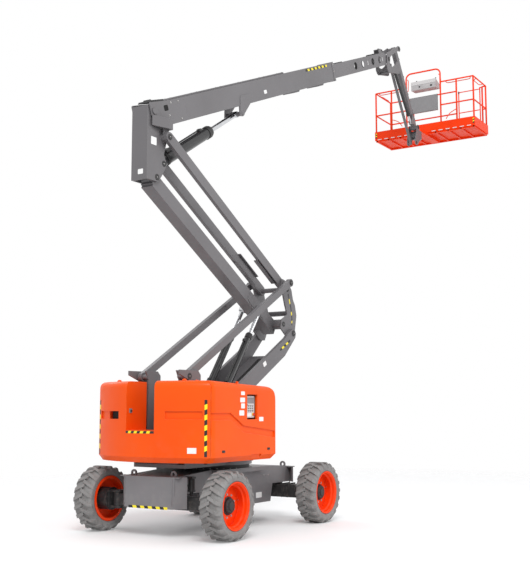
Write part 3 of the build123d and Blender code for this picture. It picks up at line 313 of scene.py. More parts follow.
class Form:
    # gathers the solids of one piece, in the millimetres of its frame
    def __init__(self, name, finish=None, frame="machine"):
        self.name = name
        self.frame = frames[frame]
        self.mesh = bmesh.new()
        self.paint = 0
        self.paints = []
        if finish:
            self.use(finish)

    def use(self, finish):
        if finish not in self.paints:
            self.paints.append(finish)
        self.paint = self.paints.index(finish)
        return self

    def face(self, verts):
        made = self.mesh.faces.new(verts)
        made.material_index = self.paint
        return made

    def prism(self, outline, low, high, across="y"):
        order = {"y": (0, 2, 1), "x": (2, 0, 1)}[across]
        near, far = ([self.mesh.verts.new([(a, b, level)[i] for i in order]) for a, b in outline]
                     for level in (low, high))
        self.face(near)
        self.face(far[::-1])
        for i in range(len(outline)):
            j = (i + 1) % len(outline)
            self.face((near[i], far[i], far[j], near[j]))
        return self

    def block(self, x0, x1, y0, y1, z0, z1, cut=0.0):
        square = [(x0, z0), (x1, z0), (x1, z1), (x0, z1)]
        return self.prism(cutCorners(x0, x1, z0, z1, cut) if cut else square, y0, y1)

    # a profile of (distance, radius) turned about the line from start along axis
    def turned(self, profile, start, axis=(0, 1, 0), sides=28, closed=False):
        axis = Vector(axis).normalized()
        first = axis.orthogonal().normalized()
        second = axis.cross(first)
        rings = []
        for along, radius in profile:
            middle = Vector(start) + axis * along
            if radius < 0.01:
                rings.append([self.mesh.verts.new(middle)])
                continue
            rings.append([self.mesh.verts.new(middle + (first * a + second * b) * radius)
                          for a, b in circle(sides, 1.0)])
        for one, two in zip(rings, rings[1:] + rings[:1] if closed else rings[1:]):
            for i in range(sides):
                j = (i + 1) % sides
                if len(one) == 1:
                    self.face((one[0], two[i], two[j]))
                elif len(two) == 1:
                    self.face((one[i], two[0], one[j]))
                else:
                    self.face((one[i], two[i], two[j], one[j]))
        for ring, flip in ((rings[0], True), (rings[-1], False)):
            if len(ring) > 1 and not closed:
                self.face(ring[::-1] if flip else ring)
        return self

    def rod(self, start, end, radius, sides=14):
        line = Vector(end) - Vector(start)
        bevel = min(radius * 0.18, line.length * 0.3)
        return self.turned([(0, radius - bevel), (bevel, radius), (line.length - bevel, radius),
                            (line.length, radius - bevel)], start, line, sides)

    # a hex head on a washer
    def bolt(self, at, axis, size):
        self.turned([(0, size * 1.05), (size * 0.16, size * 1.05)], at, axis, 14)
        raised = Vector(at) + Vector(axis).normalized() * size * 0.16
        head = [(0, size * 0.78), (size * 0.5, size * 0.78), (size * 0.62, size * 0.62)]
        return self.turned(head, raised, axis, 6)

    # an open ring round a barrel along X, with a chamfered lip
    def collar(self, x, y, bore, radius, length, lip, lipRadius, sides=28):
        profile = [(0, bore), (0, radius), (length, radius), (lip, lipRadius), (lip, bore)]
        return self.turned(profile, (x, y, 0), (1, 0, 0), sides, closed=True)

    # a pin's end cap
    def cap(self, at, axis, radius, height, sides=28):
        profile = [(0, radius), (height - 3, radius), (height, radius - 4), (height, 0)]
        return self.turned(profile, at, axis, sides)

    # a plate between two rows of corners that follow a curved surface
    def plate(self, high, low, closed=True):
        high, low = ([self.mesh.verts.new(p) for p in row] for row in (high, low))
        self.face(high)
        if closed:
            self.face(low[::-1])
        for k in range(4):
            m = (k + 1) % 4
            self.face((low[k], low[m], high[m], high[k]))

    # a round bar or hose through points, smoothed between them
    def tube(self, points, radius, sides=10, steps=7):
        points = [Vector(p) for p in points]
        line = []
        for i in range(len(points) - 1):
            p0 = points[max(i - 1, 0)]
            p1, p2 = points[i], points[i + 1]
            p3 = points[min(i + 2, len(points) - 1)]
            for k in range(steps):
                t = k / steps
                line.append(0.5 * (2 * p1 + (p2 - p0) * t + (2 * p0 - 5 * p1 + 4 * p2 - p3) * t ** 2
                                   + (3 * p1 - p0 - 3 * p2 + p3) * t ** 3))
        line.append(points[-1])
        side = (line[1] - line[0]).orthogonal().normalized()
        rings = []
        for i, point in enumerate(line):
            ahead = (line[min(i + 1, len(line) - 1)] - line[max(i - 1, 0)]).normalized()
            side = (side - ahead * side.dot(ahead)).normalized()
            other = ahead.cross(side)
            rings.append([self.mesh.verts.new(point + (side * a + other * b) * radius)
                          for a, b in circle(sides, 1.0)])
        for one, two in zip(rings, rings[1:]):
            for i in range(sides):
                j = (i + 1) % sides
                self.face((one[i], two[i], two[j], one[j]))
        self.face(rings[0][::-1])
        self.face(rings[-1])
        return self

    def done(self, body, slot=None, bevel=0.0, smooth=True):
        slot = slot or usualSlot.get(self.paints[0], self.paints[0])
        bmesh.ops.recalc_face_normals(self.mesh, faces=self.mesh.faces)
        self.mesh.transform(self.frame)
        mesh = bpy.data.meshes.new(self.name)
        self.mesh.to_mesh(mesh)
        self.mesh.free()
        for finish in self.paints:
            mesh.materials.append(finishes[finish])
        if smooth:
            for polygon in mesh.polygons:
                polygon.use_smooth = True
            mesh.set_sharp_from_angle(angle=math.radians(32))
        piece = place(self.name, mesh)
        if bevel:
            soften = piece.modifiers.new("bevel", "BEVEL")
            soften.width = bevel / 1000
            soften.segments = 2
            soften.limit_method = "ANGLE"
            soften.angle_limit = math.radians(40)
        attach(piece, body)
        return piece


# ---- finishes of the small things ----

def plainFinish(name, look):
    f = newFinish(name)
    soft = f.softEdge(look.get("edge", 0.002))[0]
    cloud = f.noise(12.0, 3.0)
    grain = f.noise(look.get("grainScale", 420.0), 3.0)
    colour = f.blend(f.spread(cloud, 0.3, 0.7), look["colour"], look["shade"])
    return f.surface({"Metallic": look.get("metal", 0.0), "Specular IOR Level": 0.4}, colour=colour,
                     roughness=f.spread(cloud, 0.3, 0.7, look["roughness"] - 0.05, look["roughness"] + 0.07),
                     normal=f.bump(grain, look.get("grain", 0.0003), 0.3, soft))


plainLooks = {
    "tapeYellow": dict(colour=(0.93, 0.78, 0.02), shade=(0.86, 0.70, 0.02), roughness=0.42),
    "tapeBlack": dict(colour=(0.012, 0.012, 0.012), shade=(0.022, 0.021, 0.020), roughness=0.45),
    "labelWhite": dict(colour=(0.84, 0.84, 0.83), shade=(0.78, 0.78, 0.77), roughness=0.40),
    "rubberBlack": dict(colour=(0.016, 0.016, 0.017), shade=(0.030, 0.029, 0.029), roughness=0.62, grain=0.0008,
                        grainScale=160.0),
    "boltSteel": dict(colour=(0.52, 0.51, 0.50), shade=(0.40, 0.39, 0.38), roughness=0.36, metal=1.0),
    "castBlack": dict(colour=(0.020, 0.020, 0.021), shade=(0.034, 0.033, 0.033), roughness=0.5, grain=0.0012,
                      grainScale=90.0, edge=0.004),
    "panelGrey": dict(colour=(0.245, 0.24, 0.245), shade=(0.225, 0.22, 0.225), roughness=0.48),
    "boxLight": dict(colour=(0.60, 0.585, 0.58), shade=(0.56, 0.545, 0.54), roughness=0.46),
    "knobRed": dict(colour=(0.72, 0.02, 0.015), shade=(0.62, 0.018, 0.014), roughness=0.34),
    # painted shade: the near-black that stands for the dark inside of openings
    "paintedHoleShade": dict(colour=(0.004, 0.004, 0.004), shade=(0.007, 0.007, 0.007), roughness=0.8),
}
for finishName, look in plainLooks.items():
    finishes[finishName] = plainFinish(finishName, look)


# ---- hazard tape: slanted blocks laid on a surface, given as (along, across) -> point ----

def tape(form, surface, length, width, count, lift, slant=0.45):
    step = length / count
    shift = width * slant
    for i in range(count):
        form.use("tapeYellow" if i % 2 else "tapeBlack")
        a0, a1 = i * step, (i + 1) * step
        corners = [(max(a0, 0.0), 0.0), (min(a1, length), 0.0), (min(a1 + shift, length), width),
                   (min(a0 + shift, length) if i else 0.0, width)]
        form.plate([surface(a, b, lift) for a, b in corners], [surface(a, b, 0.0) for a, b in corners])


tapeLift = 1.2
tailLook = dict(radius=1727.0, stripeSide=889.0, stripeWidth=32.0, low=1075.0, high=1812.0, blocks=11,
                sill=(-238.0, 238.0), sillTop=1404.0, sillWidth=32.0, sillBlocks=9)


def tailPoint(y, z, lift):
    radius = tailLook["radius"]
    x = -math.sqrt(radius ** 2 - y ** 2)
    push = (radius + lift) / radius
    return (x * push, y * push, z)


def makeTailTape():
    t = tailLook
    for side, sign in sides:
        strip = Form("tape_tail_" + side)
        tape(strip, lambda a, b, lift: tailPoint(sign * (t["stripeSide"] + b), t["low"] + a, lift),
             t["high"] - t["low"], t["stripeWidth"], t["blocks"], tapeLift)
        strip.done("turntable", "cowl_orange", smooth=False)
    sill = Form("tape_tail_sill")
    tape(sill, lambda a, b, lift: tailPoint(t["sill"][0] + a, t["sillTop"] - b, lift),
         t["sill"][1] - t["sill"][0], t["sillWidth"], t["sillBlocks"], tapeLift)
    sill.done("turntable", "cowl_orange", smooth=False)


flatTapes = dict(apron=(-1520.0, 330.0, 412.0), apronRun=(660.0, 34.0, 10), boom=(4640.0, 145.0, 84.0),
                 boomRun=(860.0, 40.0, 12))


def makeFlatTapes():
    x, y, z = flatTapes["apron"]
    apron = Form("tape_apron")
    tape(apron, lambda a, b, lift: (x - lift, y - a, z - b), *flatTapes["apronRun"], tapeLift)
    apron.done("chassis", "chassis_grey", smooth=False)
    x, y, z = flatTapes["boom"]
    for side, sign in sides:
        boom = Form("tape_boom_" + side, frame="boom")
        tape(boom, lambda a, b, lift: (x + a, sign * (y + lift), z - b), *flatTapes["boomRun"], tapeLift)
        boom.done("main_boom", "arm_grey", smooth=False)


def makeKneeTapes():
    runs = {
        "knee": (280.0, [(1694, 3560), (1786, 3329), (1816, 3167), (1815, 3050)], 26.0, 3),
        "lower_arm": (338.0, [(1655, 2772), (1345, 2602)], 34.0, 5),
    }
    for body, (face, line, width, count) in runs.items():
        strip = Form("tape_" + body)
        for sign in (-1, 1):
            for (ax, az), (bx, bz) in zip(line, line[1:]):
                length = math.hypot(bx - ax, bz - az)
                ux, uz = (bx - ax) / length, (bz - az) / length
                tape(strip, lambda a, b, lift: (ax + ux * a + uz * b, sign * (face + lift),
                                                az + uz * a - ux * b), length, width, count, tapeLift)
        strip.done(body, "arm_grey", smooth=False)


# ---- blank labels ----

labels = {
    # name: body, frame, plane ("y", "x" or "z"), where the plane is, then low and high corners in it
    "label_hood_a": ("hood_right", "machine", "y", -985.0, (-765, 1880), (-672, 1930)),
    "label_hood_b": ("hood_right", "machine", "y", -985.0, (-785, 1782), (-668, 1846)),
    "label_hood_c": ("hood_right", "machine", "y", -985.0, (-762, 1700), (-672, 1768)),
    "label_hood_d": ("hood_right", "machine", "y", -985.0, (-806, 1604), (-686, 1674)),
    "label_hood_e": ("hood_right", "machine", "y", -985.0, (-306, 1522), (-196, 1582)),
    "label_boom_a": ("main_boom", "boom", "y", -145.0, (3060, -150), (3150, -90)),
    "label_knuckle_a": ("top_knuckle", "machine", "y", -136.0, (-1730, 5290), (-1610, 5400)),
    "label_knuckle_b": ("top_knuckle", "machine", "x", -1809.8, (-70, 4865), (20, 4935)),
    "label_arm_a": ("lower_arm", "lowerArm", "y", -338.0, (2120, -60), (2210, 10)),
    "label_arm_b": ("lower_arm", "lowerArm", "y", -338.0, (1180, -90), (1290, -10)),
    "label_chassis_a": ("chassis", "machine", "y", -430.0, (480, 380), (640, 460)),
}


def makeLabels():
    for name, (body, frame, plane, where, low, high) in labels.items():
        label = Form(name, "labelWhite", frame)
        label.prism(cutCorners(low[0], high[0], low[1], high[1], 7.0), where, where - 1.2, plane)
        label.done(body, smooth=False)
    corner = Form("label_tail", "labelWhite")
    edge = (-690, 1118), (-800, 1118), (-800, 1192), (-690, 1192)
    corner.plate([tailPoint(y, z, 1.2) for y, z in edge], [tailPoint(y, z, -0.4) for y, z in edge], closed=False)
    corner.done("turntable", smooth=False)


# ---- wheels: tyre with its lugs, deep rim, hub, wheel nuts, valve ----

wheelLook = dict(track=1073.5, base=1217.5, height=446.0, dish=-15.0, hubRadius=119.0, nutCircle=150.0, nuts=9,
                 nutSize=15.0, nutDepth=25.5, capCircle=76, capBolts=10, valve=(205, 60), half=150.0,
                 lip=313.0, seat=287.0, wall=275.0, axleEnd=1068.0)
tyreLook = dict(half=165.0, tip=445.8, root=416.0, pitches=21, lug=24.0, draft=5.0, slant=25.0, overlap=20.0,
                shoulder=122.0, drop=43.0)


def makeRim(name, x, y, out):
    w = wheelLook
    half, lip, seat, wall, dish = (w[key] for key in ("half", "lip", "seat", "wall", "dish"))
    rim = Form("wheel_rim_" + name, "rim_orange")
    at, axis = (x, y, w["height"]), (0, out, 0)
    rim.turned([(-half, wall), (-half, lip), (10 - half, lip), (15 - half, seat), (half - 15, seat),
                (half - 10, lip), (half - 2, lip), (half, lip - 3), (half, lip - 14), (half - 24, wall + 4),
                (half - 60, wall), (half - 72, wall - 16), (half - 88, wall - 16), (half - 98, wall)],
               at, axis, 72, closed=True)
    rim.turned([(dish - 14, 281), (dish, 281), (dish + 3, 268), (dish + 24, 184), (dish + 26, 176),
                (dish + 26, 109), (dish + 12, 109), (dish + 12, 174)], at, axis, 72, closed=True)
    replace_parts(rim.done("wheel_" + name), "rim_" + name)


def makeTyre(name, x, y, out):
    t = tyreLook
    w = wheelLook
    tyre = Form("wheel_tyre_" + name, "tyre_grey")
    side = [(134, 287.3), (134, 317), (146, 320), (153, 327), (155, 346), (159, 349), (160, 372), (159, 390),
            (146, 406), (125, t["root"])]
    profile = side + [(-along, radius) for along, radius in side[::-1]]
    tyre.turned(profile, (x, y, w["height"]), (0, out, 0), 96, closed=True)
    middle = (t["half"] - t["overlap"]) / 2
    lean = math.tan(math.radians(t["slant"]))
    stations = (-t["overlap"], 40.0, 84.0, t["shoulder"], 146.0, t["half"])
    for i in range(t["pitches"]):
        for hand in (-1, 1):
            turn = math.tau / t["pitches"] * (i + 0.25 * hand)
            rings = []
            for across in stations:
                past = max(0.0, across - t["shoulder"]) / (t["half"] - t["shoulder"])
                top = t["tip"] - t["drop"] * past
                foot = t["root"] - 12.0 - 36.0 * past
                centre = turn + (across - middle) * lean / t["tip"]
                ring = []
                for radius, push in ((foot, -1), (top, -1), (top, 1), (foot, 1)):
                    wide = (t["lug"] + (t["draft"] if radius == foot else 0.0)) / t["tip"]
                    angle = centre + push * wide
                    ring.append(tyre.mesh.verts.new((x + radius * math.cos(angle), y + hand * across,
                                                     w["height"] + radius * math.sin(angle))))
                rings.append(ring)
            for one, two in zip(rings, rings[1:]):
                for k in range(4):
                    m = (k + 1) % 4
                    tyre.face((one[k], two[k], two[m], one[m]))
            tyre.face(rings[0])
            tyre.face(rings[-1][::-1])
    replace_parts(tyre.done("wheel_" + name), "tyre_" + name)


# a copy of a CAD node whose ends stop behind the wheels' discs
def makeShortened(node, name, body, slot):
    source = frame["nodes"][node]
    mesh = source.data.copy()
    mesh.transform(source.matrix_world)
    end = wheelLook["axleEnd"] / 1000
    for vertex in mesh.vertices:
        vertex.co.y = max(-end, min(end, vertex.co.y))
    mesh.materials.clear()
    mesh.materials.append(finishes[slot])
    piece = place(name, mesh)
    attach(piece, body)
    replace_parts(piece, node)


def makeHub(name, x, y, out):
    w = wheelLook
    height, radius, axis = w["height"], w["hubRadius"], (0, out, 0)
    face = lambda depth: y + out * (w["dish"] + depth)
    hub = Form("hub_" + name, "castBlack")
    hub.turned([(-6, radius + 1), (34, radius + 1), (40, radius - 12), (62, radius - 16), (76, radius - 30),
                (76, 62), (79, 58), (88, 56), (91, 50), (91, 0)], (x, face(0), height), axis, 40)
    for a, b in circle(w["capBolts"], w["capCircle"]):
        hub.bolt((x + a, face(76), height + b), axis, 8)
    hub.done("wheel_" + name)
    nuts = Form("nuts_" + name, "boltSteel")
    for a, b in circle(w["nuts"], w["nutCircle"], 0.5):
        nuts.bolt((x + a, face(w["nutDepth"]), height + b), axis, w["nutSize"])
    nuts.done("wheel_" + name)
    valve = Form("valve_" + name, "boltSteel")
    a, b = w["valve"]
    valve.rod((x + a, face(-4), height + b), (x + a + 2, face(52), height + b), 5, 10)
    valve.done("wheel_" + name)


def makeWheels():
    w = wheelLook
    for end, x in (("steer", -w["base"]), ("drive", w["base"])):
        for side, sign in sides:
            for make in (makeTyre, makeRim, makeHub):
                make(end + "_" + side, x, sign * w["track"], sign)
    makeShortened("rear_axle", "drive_axle_body", "chassis", "axle_black")
    for side, sign in sides:
        makeShortened("knuckle_" + side, "steer_knuckle_" + side, "knuckle_" + side, "axle_black")


# ---- pin ends: a cap and its bolt ----

pins = [
    # name, body, x, z, outer face in y, radius
    ("riserFoot", "turntable", -1018.0, 1330.0, 346.0, 38.0),
    ("linkFoot", "turntable", -1212.0, 2135.0, 445.0, 44.0),
    ("knee", "knee", 1752.9, 2910.5, 344.0, 46.0),
    ("linkHead", "knee", 1558.9, 3715.5, 422.0, 44.0),
    ("armFoot", "knee", 1537.9, 3048.5, 280.0, 42.0),
    ("upperLinkFoot", "knee", 1664.9, 3628.5, 280.0, 42.0),
    ("upperLinkHead", "top_knuckle", -1458.8, 5432.0, 258.0, 40.0),
    ("armHead", "top_knuckle", -1585.8, 4852.0, 136.0, 44.0),
    ("liftBase", "top_knuckle", -1435.8, 5072.0, 136.0, 42.0),
]


def makePins():
    for name, body, x, z, face, radius in pins:
        for side, sign in sides:
            cap = Form("pin_%s_%s" % (name, side), "castBlack")
            cap.turned([(-1, radius), (4, radius), (6, radius - 3), (6, radius * 0.55), (4, radius * 0.5),
                        (4, 0)], (x, sign * face, z), (0, sign, 0), 28)
            cap.use("boltSteel").bolt((x, sign * (face + 4), z), (0, sign, 0), 9)
            cap.done(body, "arm_grey")


# ---- things on the booms ----

boomLook = dict(top=100.5, bottom=-236.5, cheek=161.0, tray=126.5, mouth=(5700, 5762), collar=153.0,
                flyTop=63, flySide=110.0, hoses=(-84, -62, -40, -18))


def makeBoomTrim():
    b = boomLook
    low, high = b["mouth"]
    tray = Form("boom_tray", "arm_grey", "boom")
    tray.prism([(500, b["top"]), (3960, b["top"]), (3944, b["tray"]), (516, b["tray"])], -78, 30)
    tray.done("main_boom", bevel=3)
    cover = Form("boom_rear_cover", "castBlack", "boom")
    cover.prism([(30, 128), (330, 101), (330, 132), (60, 152)], -118, 118)
    cover.rod((110, -60, 140), (110, 60, 140), 26, 18)
    cover.done("main_boom", bevel=5)
    # near-black plates on both cheeks where the side windows open: painted shade of the boom's dark inside
    windowShade = Form("boom_side_window_shade", "paintedHoleShade", "boom")
    for sign in (-1, 1):
        windowShade.block(237, 335, *span(sign, b["cheek"], b["cheek"] + 1.0), -36, 44, cut=12)
    windowShade.done("main_boom", smooth=False)
    bolts = Form("boom_bolts", "boltSteel", "boom")
    for sign in (-1, 1):
        for x, z in ((331, -109), (420, 60), (600, 60), (600, -190)):
            bolts.bolt((x, sign * b["cheek"], z), (0, sign, 0), 13)
        for x in (5715, 5745):
            for z in (-200, -68, 64):
                bolts.bolt((x, sign * b["collar"], z), (0, sign, 0), 10)
    for x in (560, 1240, 1920, 2600, 3280, 3900):
        for y in (-70, 22):
            bolts.bolt((x, y, b["tray"]), (0, 0, 1), 8)
    bolts.done("main_boom")
    pads = Form("boom_pads", "arm_grey", "boom")
    foot = b["bottom"] - 26
    for x0, x1 in ((4110, 4330), (5040, 5290)):
        pads.prism([(x0, b["bottom"]), (x1, b["bottom"]), (x1 - 25, foot), (x0 + 25, foot)], -120, 120)
    pads.done("main_boom", bevel=3)
    # wipers round the fly section, with room for its hoses at the top
    mouth = Form("boom_mouth_wipers", "rubberBlack", "boom")
    for sign in (-1, 1):
        mouth.block(low, high, *span(sign, 111.5, 134), -190, 54)
    for y0, y1 in ((2, 110), (-110, -97)):
        mouth.block(low, high, y0, y1, 64.5, 89.5)
    mouth.done("main_boom", smooth=False)
    top = Form("fly_top_sensor", "castBlack", "boom")
    top.prism([(5930, b["flyTop"]), (6330, b["flyTop"]), (6318, 78), (5945, 78)], -70, -20)
    top.done("fly_boom", bevel=3)
    carrier = Form("fly_hose_box", "arm_grey", "boom")
    carrier.prism([(8072, b["flyTop"]), (8200, b["flyTop"]), (8200, 128), (8175, 150), (8072, 150)], -105, 10)
    carrier.use("castBlack").block(8068, 8073, -92, -4, 78, 140)
    for x, z in ((8095, 125), (8170, 125), (8095, 84), (8170, 84)):
        carrier.use("boltSteel").bolt((x, -105, z), (0, -1, 0), 8)
    carrier.done("fly_boom", bevel=4)
    loops = Form("fly_hoses", "rubberBlack", "boom")
    for k, y in enumerate(b["hoses"]):
        crest = 122 + 9 * k
        loops.tube([(7600, y, 71.5), (7800, y, 71.5), (8074, y, 71.5)], 8)
        loops.tube([(8196, y, 100), (8230, y, crest), (8275, y, crest), (8300, y, 84)], 9)
    loops.done("fly_boom")
    clamps = Form("fly_hose_clamps", "castBlack", "boom")
    for x in (7640, 7900):
        clamps.block(x, x + 34, -95, -4, b["flyTop"], 83)
    clamps.done("fly_boom", bevel=3)
    slots = Form("fly_slots", "labelWhite", "boom")
    for sign in (-1, 1):
        for x in (7421, 8171):
            slots.block(x - 8, x + 8, *span(sign, b["flySide"], b["flySide"] + 0.8), -110, -26, cut=7)
    slots.done("fly_boom", "arm_grey", smooth=False)


# ---- riser trim: doublers with a moulded slot whose shade lines are painted black, collars and hoses on the cylinders ----

def makeRiserTrim():
    doubler = Form("upper_link_doublers", "arm_grey", "upperLinks")
    for sign in (-1, 1):
        doubler.prism([(230, -60), (290, -92), (900, -92), (990, -66),
                       (990, 66), (900, 92), (290, 92), (230, 60)], *span(sign, 220.5, 232.0))
        doubler.block(290, 900, *span(sign, 152.0, 232.0), 74.5, 92)
        doubler.block(290, 900, *span(sign, 152.0, 232.0), -92, -74.5)
    doubler.done("upper_links", bevel=3)
    # thin black strips flush on the doublers: painted shade lines of the moulded slot and of a chevron near the
    # doublers' ends
    grooveShade = Form("upper_link_groove_shade", "castBlack", "upperLinks")
    for sign in (-1, 1):
        grooveShade.prism([(360, -42), (810, -42), (860, 0), (830, 46), (360, 46), (360, 34), (824, 34), (846, 0),
                       (804, -30), (360, -30)], *span(sign, 232.0, 232.8))
        grooveShade.prism([(890, -80), (902, -80), (954, 0), (902, 80), (890, 80), (942, 0)],
                      *span(sign, 232.0, 232.8))
    grooveShade.done("upper_links", smooth=False)
    arm = Form("upper_arm_doublers", "arm_grey", "upperArm")
    for sign in (-1, 1):
        arm.prism([(330, -60), (760, -60), (850, -30), (850, 90), (760, 118), (330, 118)],
                  *span(sign, 100.0, 108.0))
    arm.done("upper_arm", bevel=3)
    glands = Form("riser_glands", "castBlack", "riserCylinder")
    for sign in (-1, 1):
        y = sign * 165.0
        glands.collar(1064, y, 49.8, 58, 70, 80, 52)
        glands.collar(120, y, 49.8, 60, 60, 68, 52)
        glands.block(170, 250, y - 24, y + 24, 44, 84, cut=8)
        glands.tube([(230, y, 78), (420, y, 74), (700, y, 74), (980, y, 72)], 9)
        glands.block(960, 1010, y - 20, y + 20, 44, 82, cut=8)
    glands.done("riser_barrels", "cylinder_black")
    lift = Form("lift_gland", "castBlack", "liftCylinder")
    lift.collar(1370, 0, 87.8, 97, 85, 98, 92, 36)
    lift.collar(190, 0, 87.8, 95, 60, 66, 90, 36)
    lift.block(270, 400, -38, 38, 80, 122, cut=10)
    lift.tube([(390, 0, 112), (620, 0, 104), (1000, 0, 104), (1230, 0, 104)], 11)
    lift.block(1215, 1275, -26, 26, 80, 118, cut=8)
    lift.done("lift_barrel", "cylinder_black")
    jib = Form("jib_gland", "castBlack", "jibCylinder")
    jib.collar(980, -42, 35.8, 42, 50, 56, 38, 24)
    jib.block(130, 190, -56, -28, 32, 56, cut=6)
    jib.done("jib_barrel", "cylinder_black")


# ---- hoses that one body holds all the way ----

def hoses(name, body, arm, count, gap, radius, line):
    run = Form(name, "rubberBlack", arm)
    for k in range(count):
        y = (k - (count - 1) / 2) * gap
        run.tube([(x, y, z + k * rise) for x, z, rise in line], radius)
    run.done(body)


def makeHoses():
    hoses("jib_hoses", "jib_arm", "jib", 4, 20, 9, ((60, 78, 0), (180, 74, 0), (500, 74, 0), (1000, 74, 0),
                                                    (1400, 76, 0), (1600, 92, 8), (1730, 78, 0)))
    clamps = Form("jib_hose_clamps", "castBlack", "jib")
    for x in (220, 620, 1020, 1400):
        clamps.block(x, x + 36, -43, 43, 60, 88)
    clamps.done("jib_arm", bevel=3)
    hoses("lower_arm_hoses", "lower_arm", "lowerArm", 5, 30, 12,
          ((420, -168, 0), (800, -166, 0), (1500, -166, 0), (2200, -166, 0), (2600, -160, 0)))
    valve = Form("lower_arm_valves", "castBlack", "lowerArm")
    for sign in (-1, 1):
        valve.block(1290, 1400, *span(sign, 224, 258), -100, -20, cut=10)
        valve.rod((1345, sign * 241, -20), (1345, sign * 241, 16), 14)
    valve.done("lower_arm", bevel=3)
    hoses("upper_arm_hoses", "upper_arm", "upperArm", 4, 24, 10,
          ((420, 76, 0), (700, 78, 0), (1500, 78, 0), (2500, 78, 0), (3260, 78, 0)))


# ---- chassis ----

chassisLook = dict(apron=1520.0, rail=430, ring=850, slewCircle=560, lockPlace=(-1217.5, 500.0), deck=(720, 1340))


def makeChassisTrim():
    c = chassisLook
    ring = Form("slew_bolts", "boltSteel")
    for x, y in circle(36, c["slewCircle"]):
        if abs(y) < 0.97 * c["slewCircle"]:
            ring.bolt((x, y, c["ring"]), (0, 0, 1), 11)
    ring.done("chassis")
    plates = Form("apron_trim", "chassis_grey")
    for end in (-1, 1):
        x = end * (c["apron"] - 2)
        for y in (-396, 396):
            plates.rod((x, y, 440), (x, y, 770), 9, 12)
    plates.done("chassis")
    cylinders = Form("axle_lock_cylinders", "castBlack")
    x, aside = c["lockPlace"]
    for sign in (-1, 1):
        y = sign * aside
        cylinders.rod((x, y, 545), (x, y, 600), 26, 20)
        cylinders.rod((x, y, 600), (x, y, 770), 46, 24)
        cylinders.turned([(0, 46), (0, 52), (22, 52)], (x, y, 600), (0, 0, 1), 24)
        cylinders.block(x - 40, x + 40, *span(sign, c["rail"], 540), 770, 796)
        cylinders.tube([(x - 50, y, 650), (x - 110, y, 700), (x - 120, sign * 445, 740),
                        (x - 60, sign * 436, 700)], 9)
    cylinders.done("chassis", "cylinder_black")
    bolts = Form("chassis_bolts", "boltSteel")
    for x in (-60, 60, 180, 700, 820):
        for sign in (-1, 1):
            bolts.bolt((x, sign * c["rail"], 700), (0, sign, 0), 12)
    bolts.done("chassis")
    tread = Form("deck_pads", "rubberBlack")
    for end in (-1, 1):
        tread.block(*span(end, *c["deck"]), -300, 300, 801, 803)
    tread.done("chassis", smooth=False)


# ---- cowls: rounded outlines lofted upwards, then carved ----

cowlLook = dict(radius=1727.0, half=985.0, corner=130.0, front=130.0, low=990.0, chamfer=55.0, chamferHigh=71.5,
                edge=85.0, nose=190.0, top=2066.0, frontTop=2012.0, hood=-1425.0, tail=-1431.0, keel=-1281.0,
                keelHalf=450.0, inner=460.0, wall=40.0, slotHalf=238.0, slotSill=1410.0, dent=20.0, grip=90.0,
                panels=(395, 865), hand=(400, 630), panelRows=(1558, 1664), window=(-612, -350, 1550, 1890),
                scoop=(-508, -251, 900, 1072), skin=(-1100, -930), hinges=(-1100, -120))
bandLine = [(-1440, 1640), (-1014, 1640), (-697, 1469), (110, 1382),
            (110, 1290), (-697, 1377), (-1014, 1548), (-1440, 1548)]


# how far a rounding of that radius stands back at a depth under the top
def roundedBack(radius, depth):
    return 0.0 if depth >= radius else radius - math.sqrt(radius ** 2 - (radius - depth) ** 2)


# plan of the whole cowling, from its front on one side round the tail, with its skin set back
def cowlPlan(back):
    c = cowlLook
    r, reach = c["corner"], c["radius"] - c["corner"]
    cy = c["half"] - r
    cx = -math.sqrt(reach ** 2 - cy ** 2)
    turn = math.atan2(cy, cx)
    line = [(c["front"], -(c["half"] - back)), (cx, -(c["half"] - back))]
    small = [math.pi / 2 + (turn - math.pi / 2) * k / 8 for k in range(1, 9)]
    line += [(cx + (r - back) * math.cos(a), -cy - (r - back) * math.sin(a)) for a in small]
    for k in range(1, 60):
        a = -turn - (math.tau - 2 * turn) * k / 60
        line.append(((c["radius"] - back) * math.cos(a), (c["radius"] - back) * math.sin(a)))
    return line + [(x, -y) for x, y in line[9::-1]]


# the stretch of a line on one side of x, with as many even points as asked
def stretch(line, x, ahead, count):
    kept = []
    for (ax, ay), (bx, by) in zip(line, line[1:]):
        inside = [(ax >= x) == ahead, (bx >= x) == ahead]
        if inside[0]:
            kept.append((ax, ay))
        if inside[0] != inside[1]:
            t = (x - ax) / (bx - ax)
            kept.append((x, ay + (by - ay) * t))
    lengths = [0.0]
    for (ax, ay), (bx, by) in zip(kept, kept[1:]):
        lengths.append(lengths[-1] + math.hypot(bx - ax, by - ay))
    even = []
    for k in range(count):
        want = lengths[-1] * k / (count - 1)
        i = max(j for j in range(len(lengths) - 1) if lengths[j] <= want + 1e-9)
        t = (want - lengths[i]) / max(lengths[i + 1] - lengths[i], 1e-9)
        even.append(tuple(kept[i][m] + (kept[i + 1][m] - kept[i][m]) * t for m in (0, 1)))
    return even


def tailRing(back, noseBack):  # the tail has no nose
    c = cowlLook
    tail, keel, half = c["tail"], c["keel"], c["keelHalf"]
    return stretch(cowlPlan(back), tail, False, 90) + [(tail, half), (keel, half), (keel, -half), (tail, -half)]


def hoodRing(back, noseBack, start=cowlLook["hood"], inner=cowlLook["inner"]):
    c = cowlLook
    side = -(c["half"] - back)
    rear = stretch([p for p in cowlPlan(back)[:40] if p[0] < c["front"] - 1], start, True, 9)
    knee, front = c["front"] - c["nose"], c["front"] - noseBack
    return [(start, -inner)] + rear[::-1] + [(knee, side), (front, side), (front, -inner), (knee, -inner)]


def cowlTop(x):
    c = cowlLook
    share = (x - c["hood"]) / (c["front"] - c["nose"] - c["hood"])
    return c["top"] + (c["frontTop"] - c["top"]) * max(0.0, min(1.0, share))


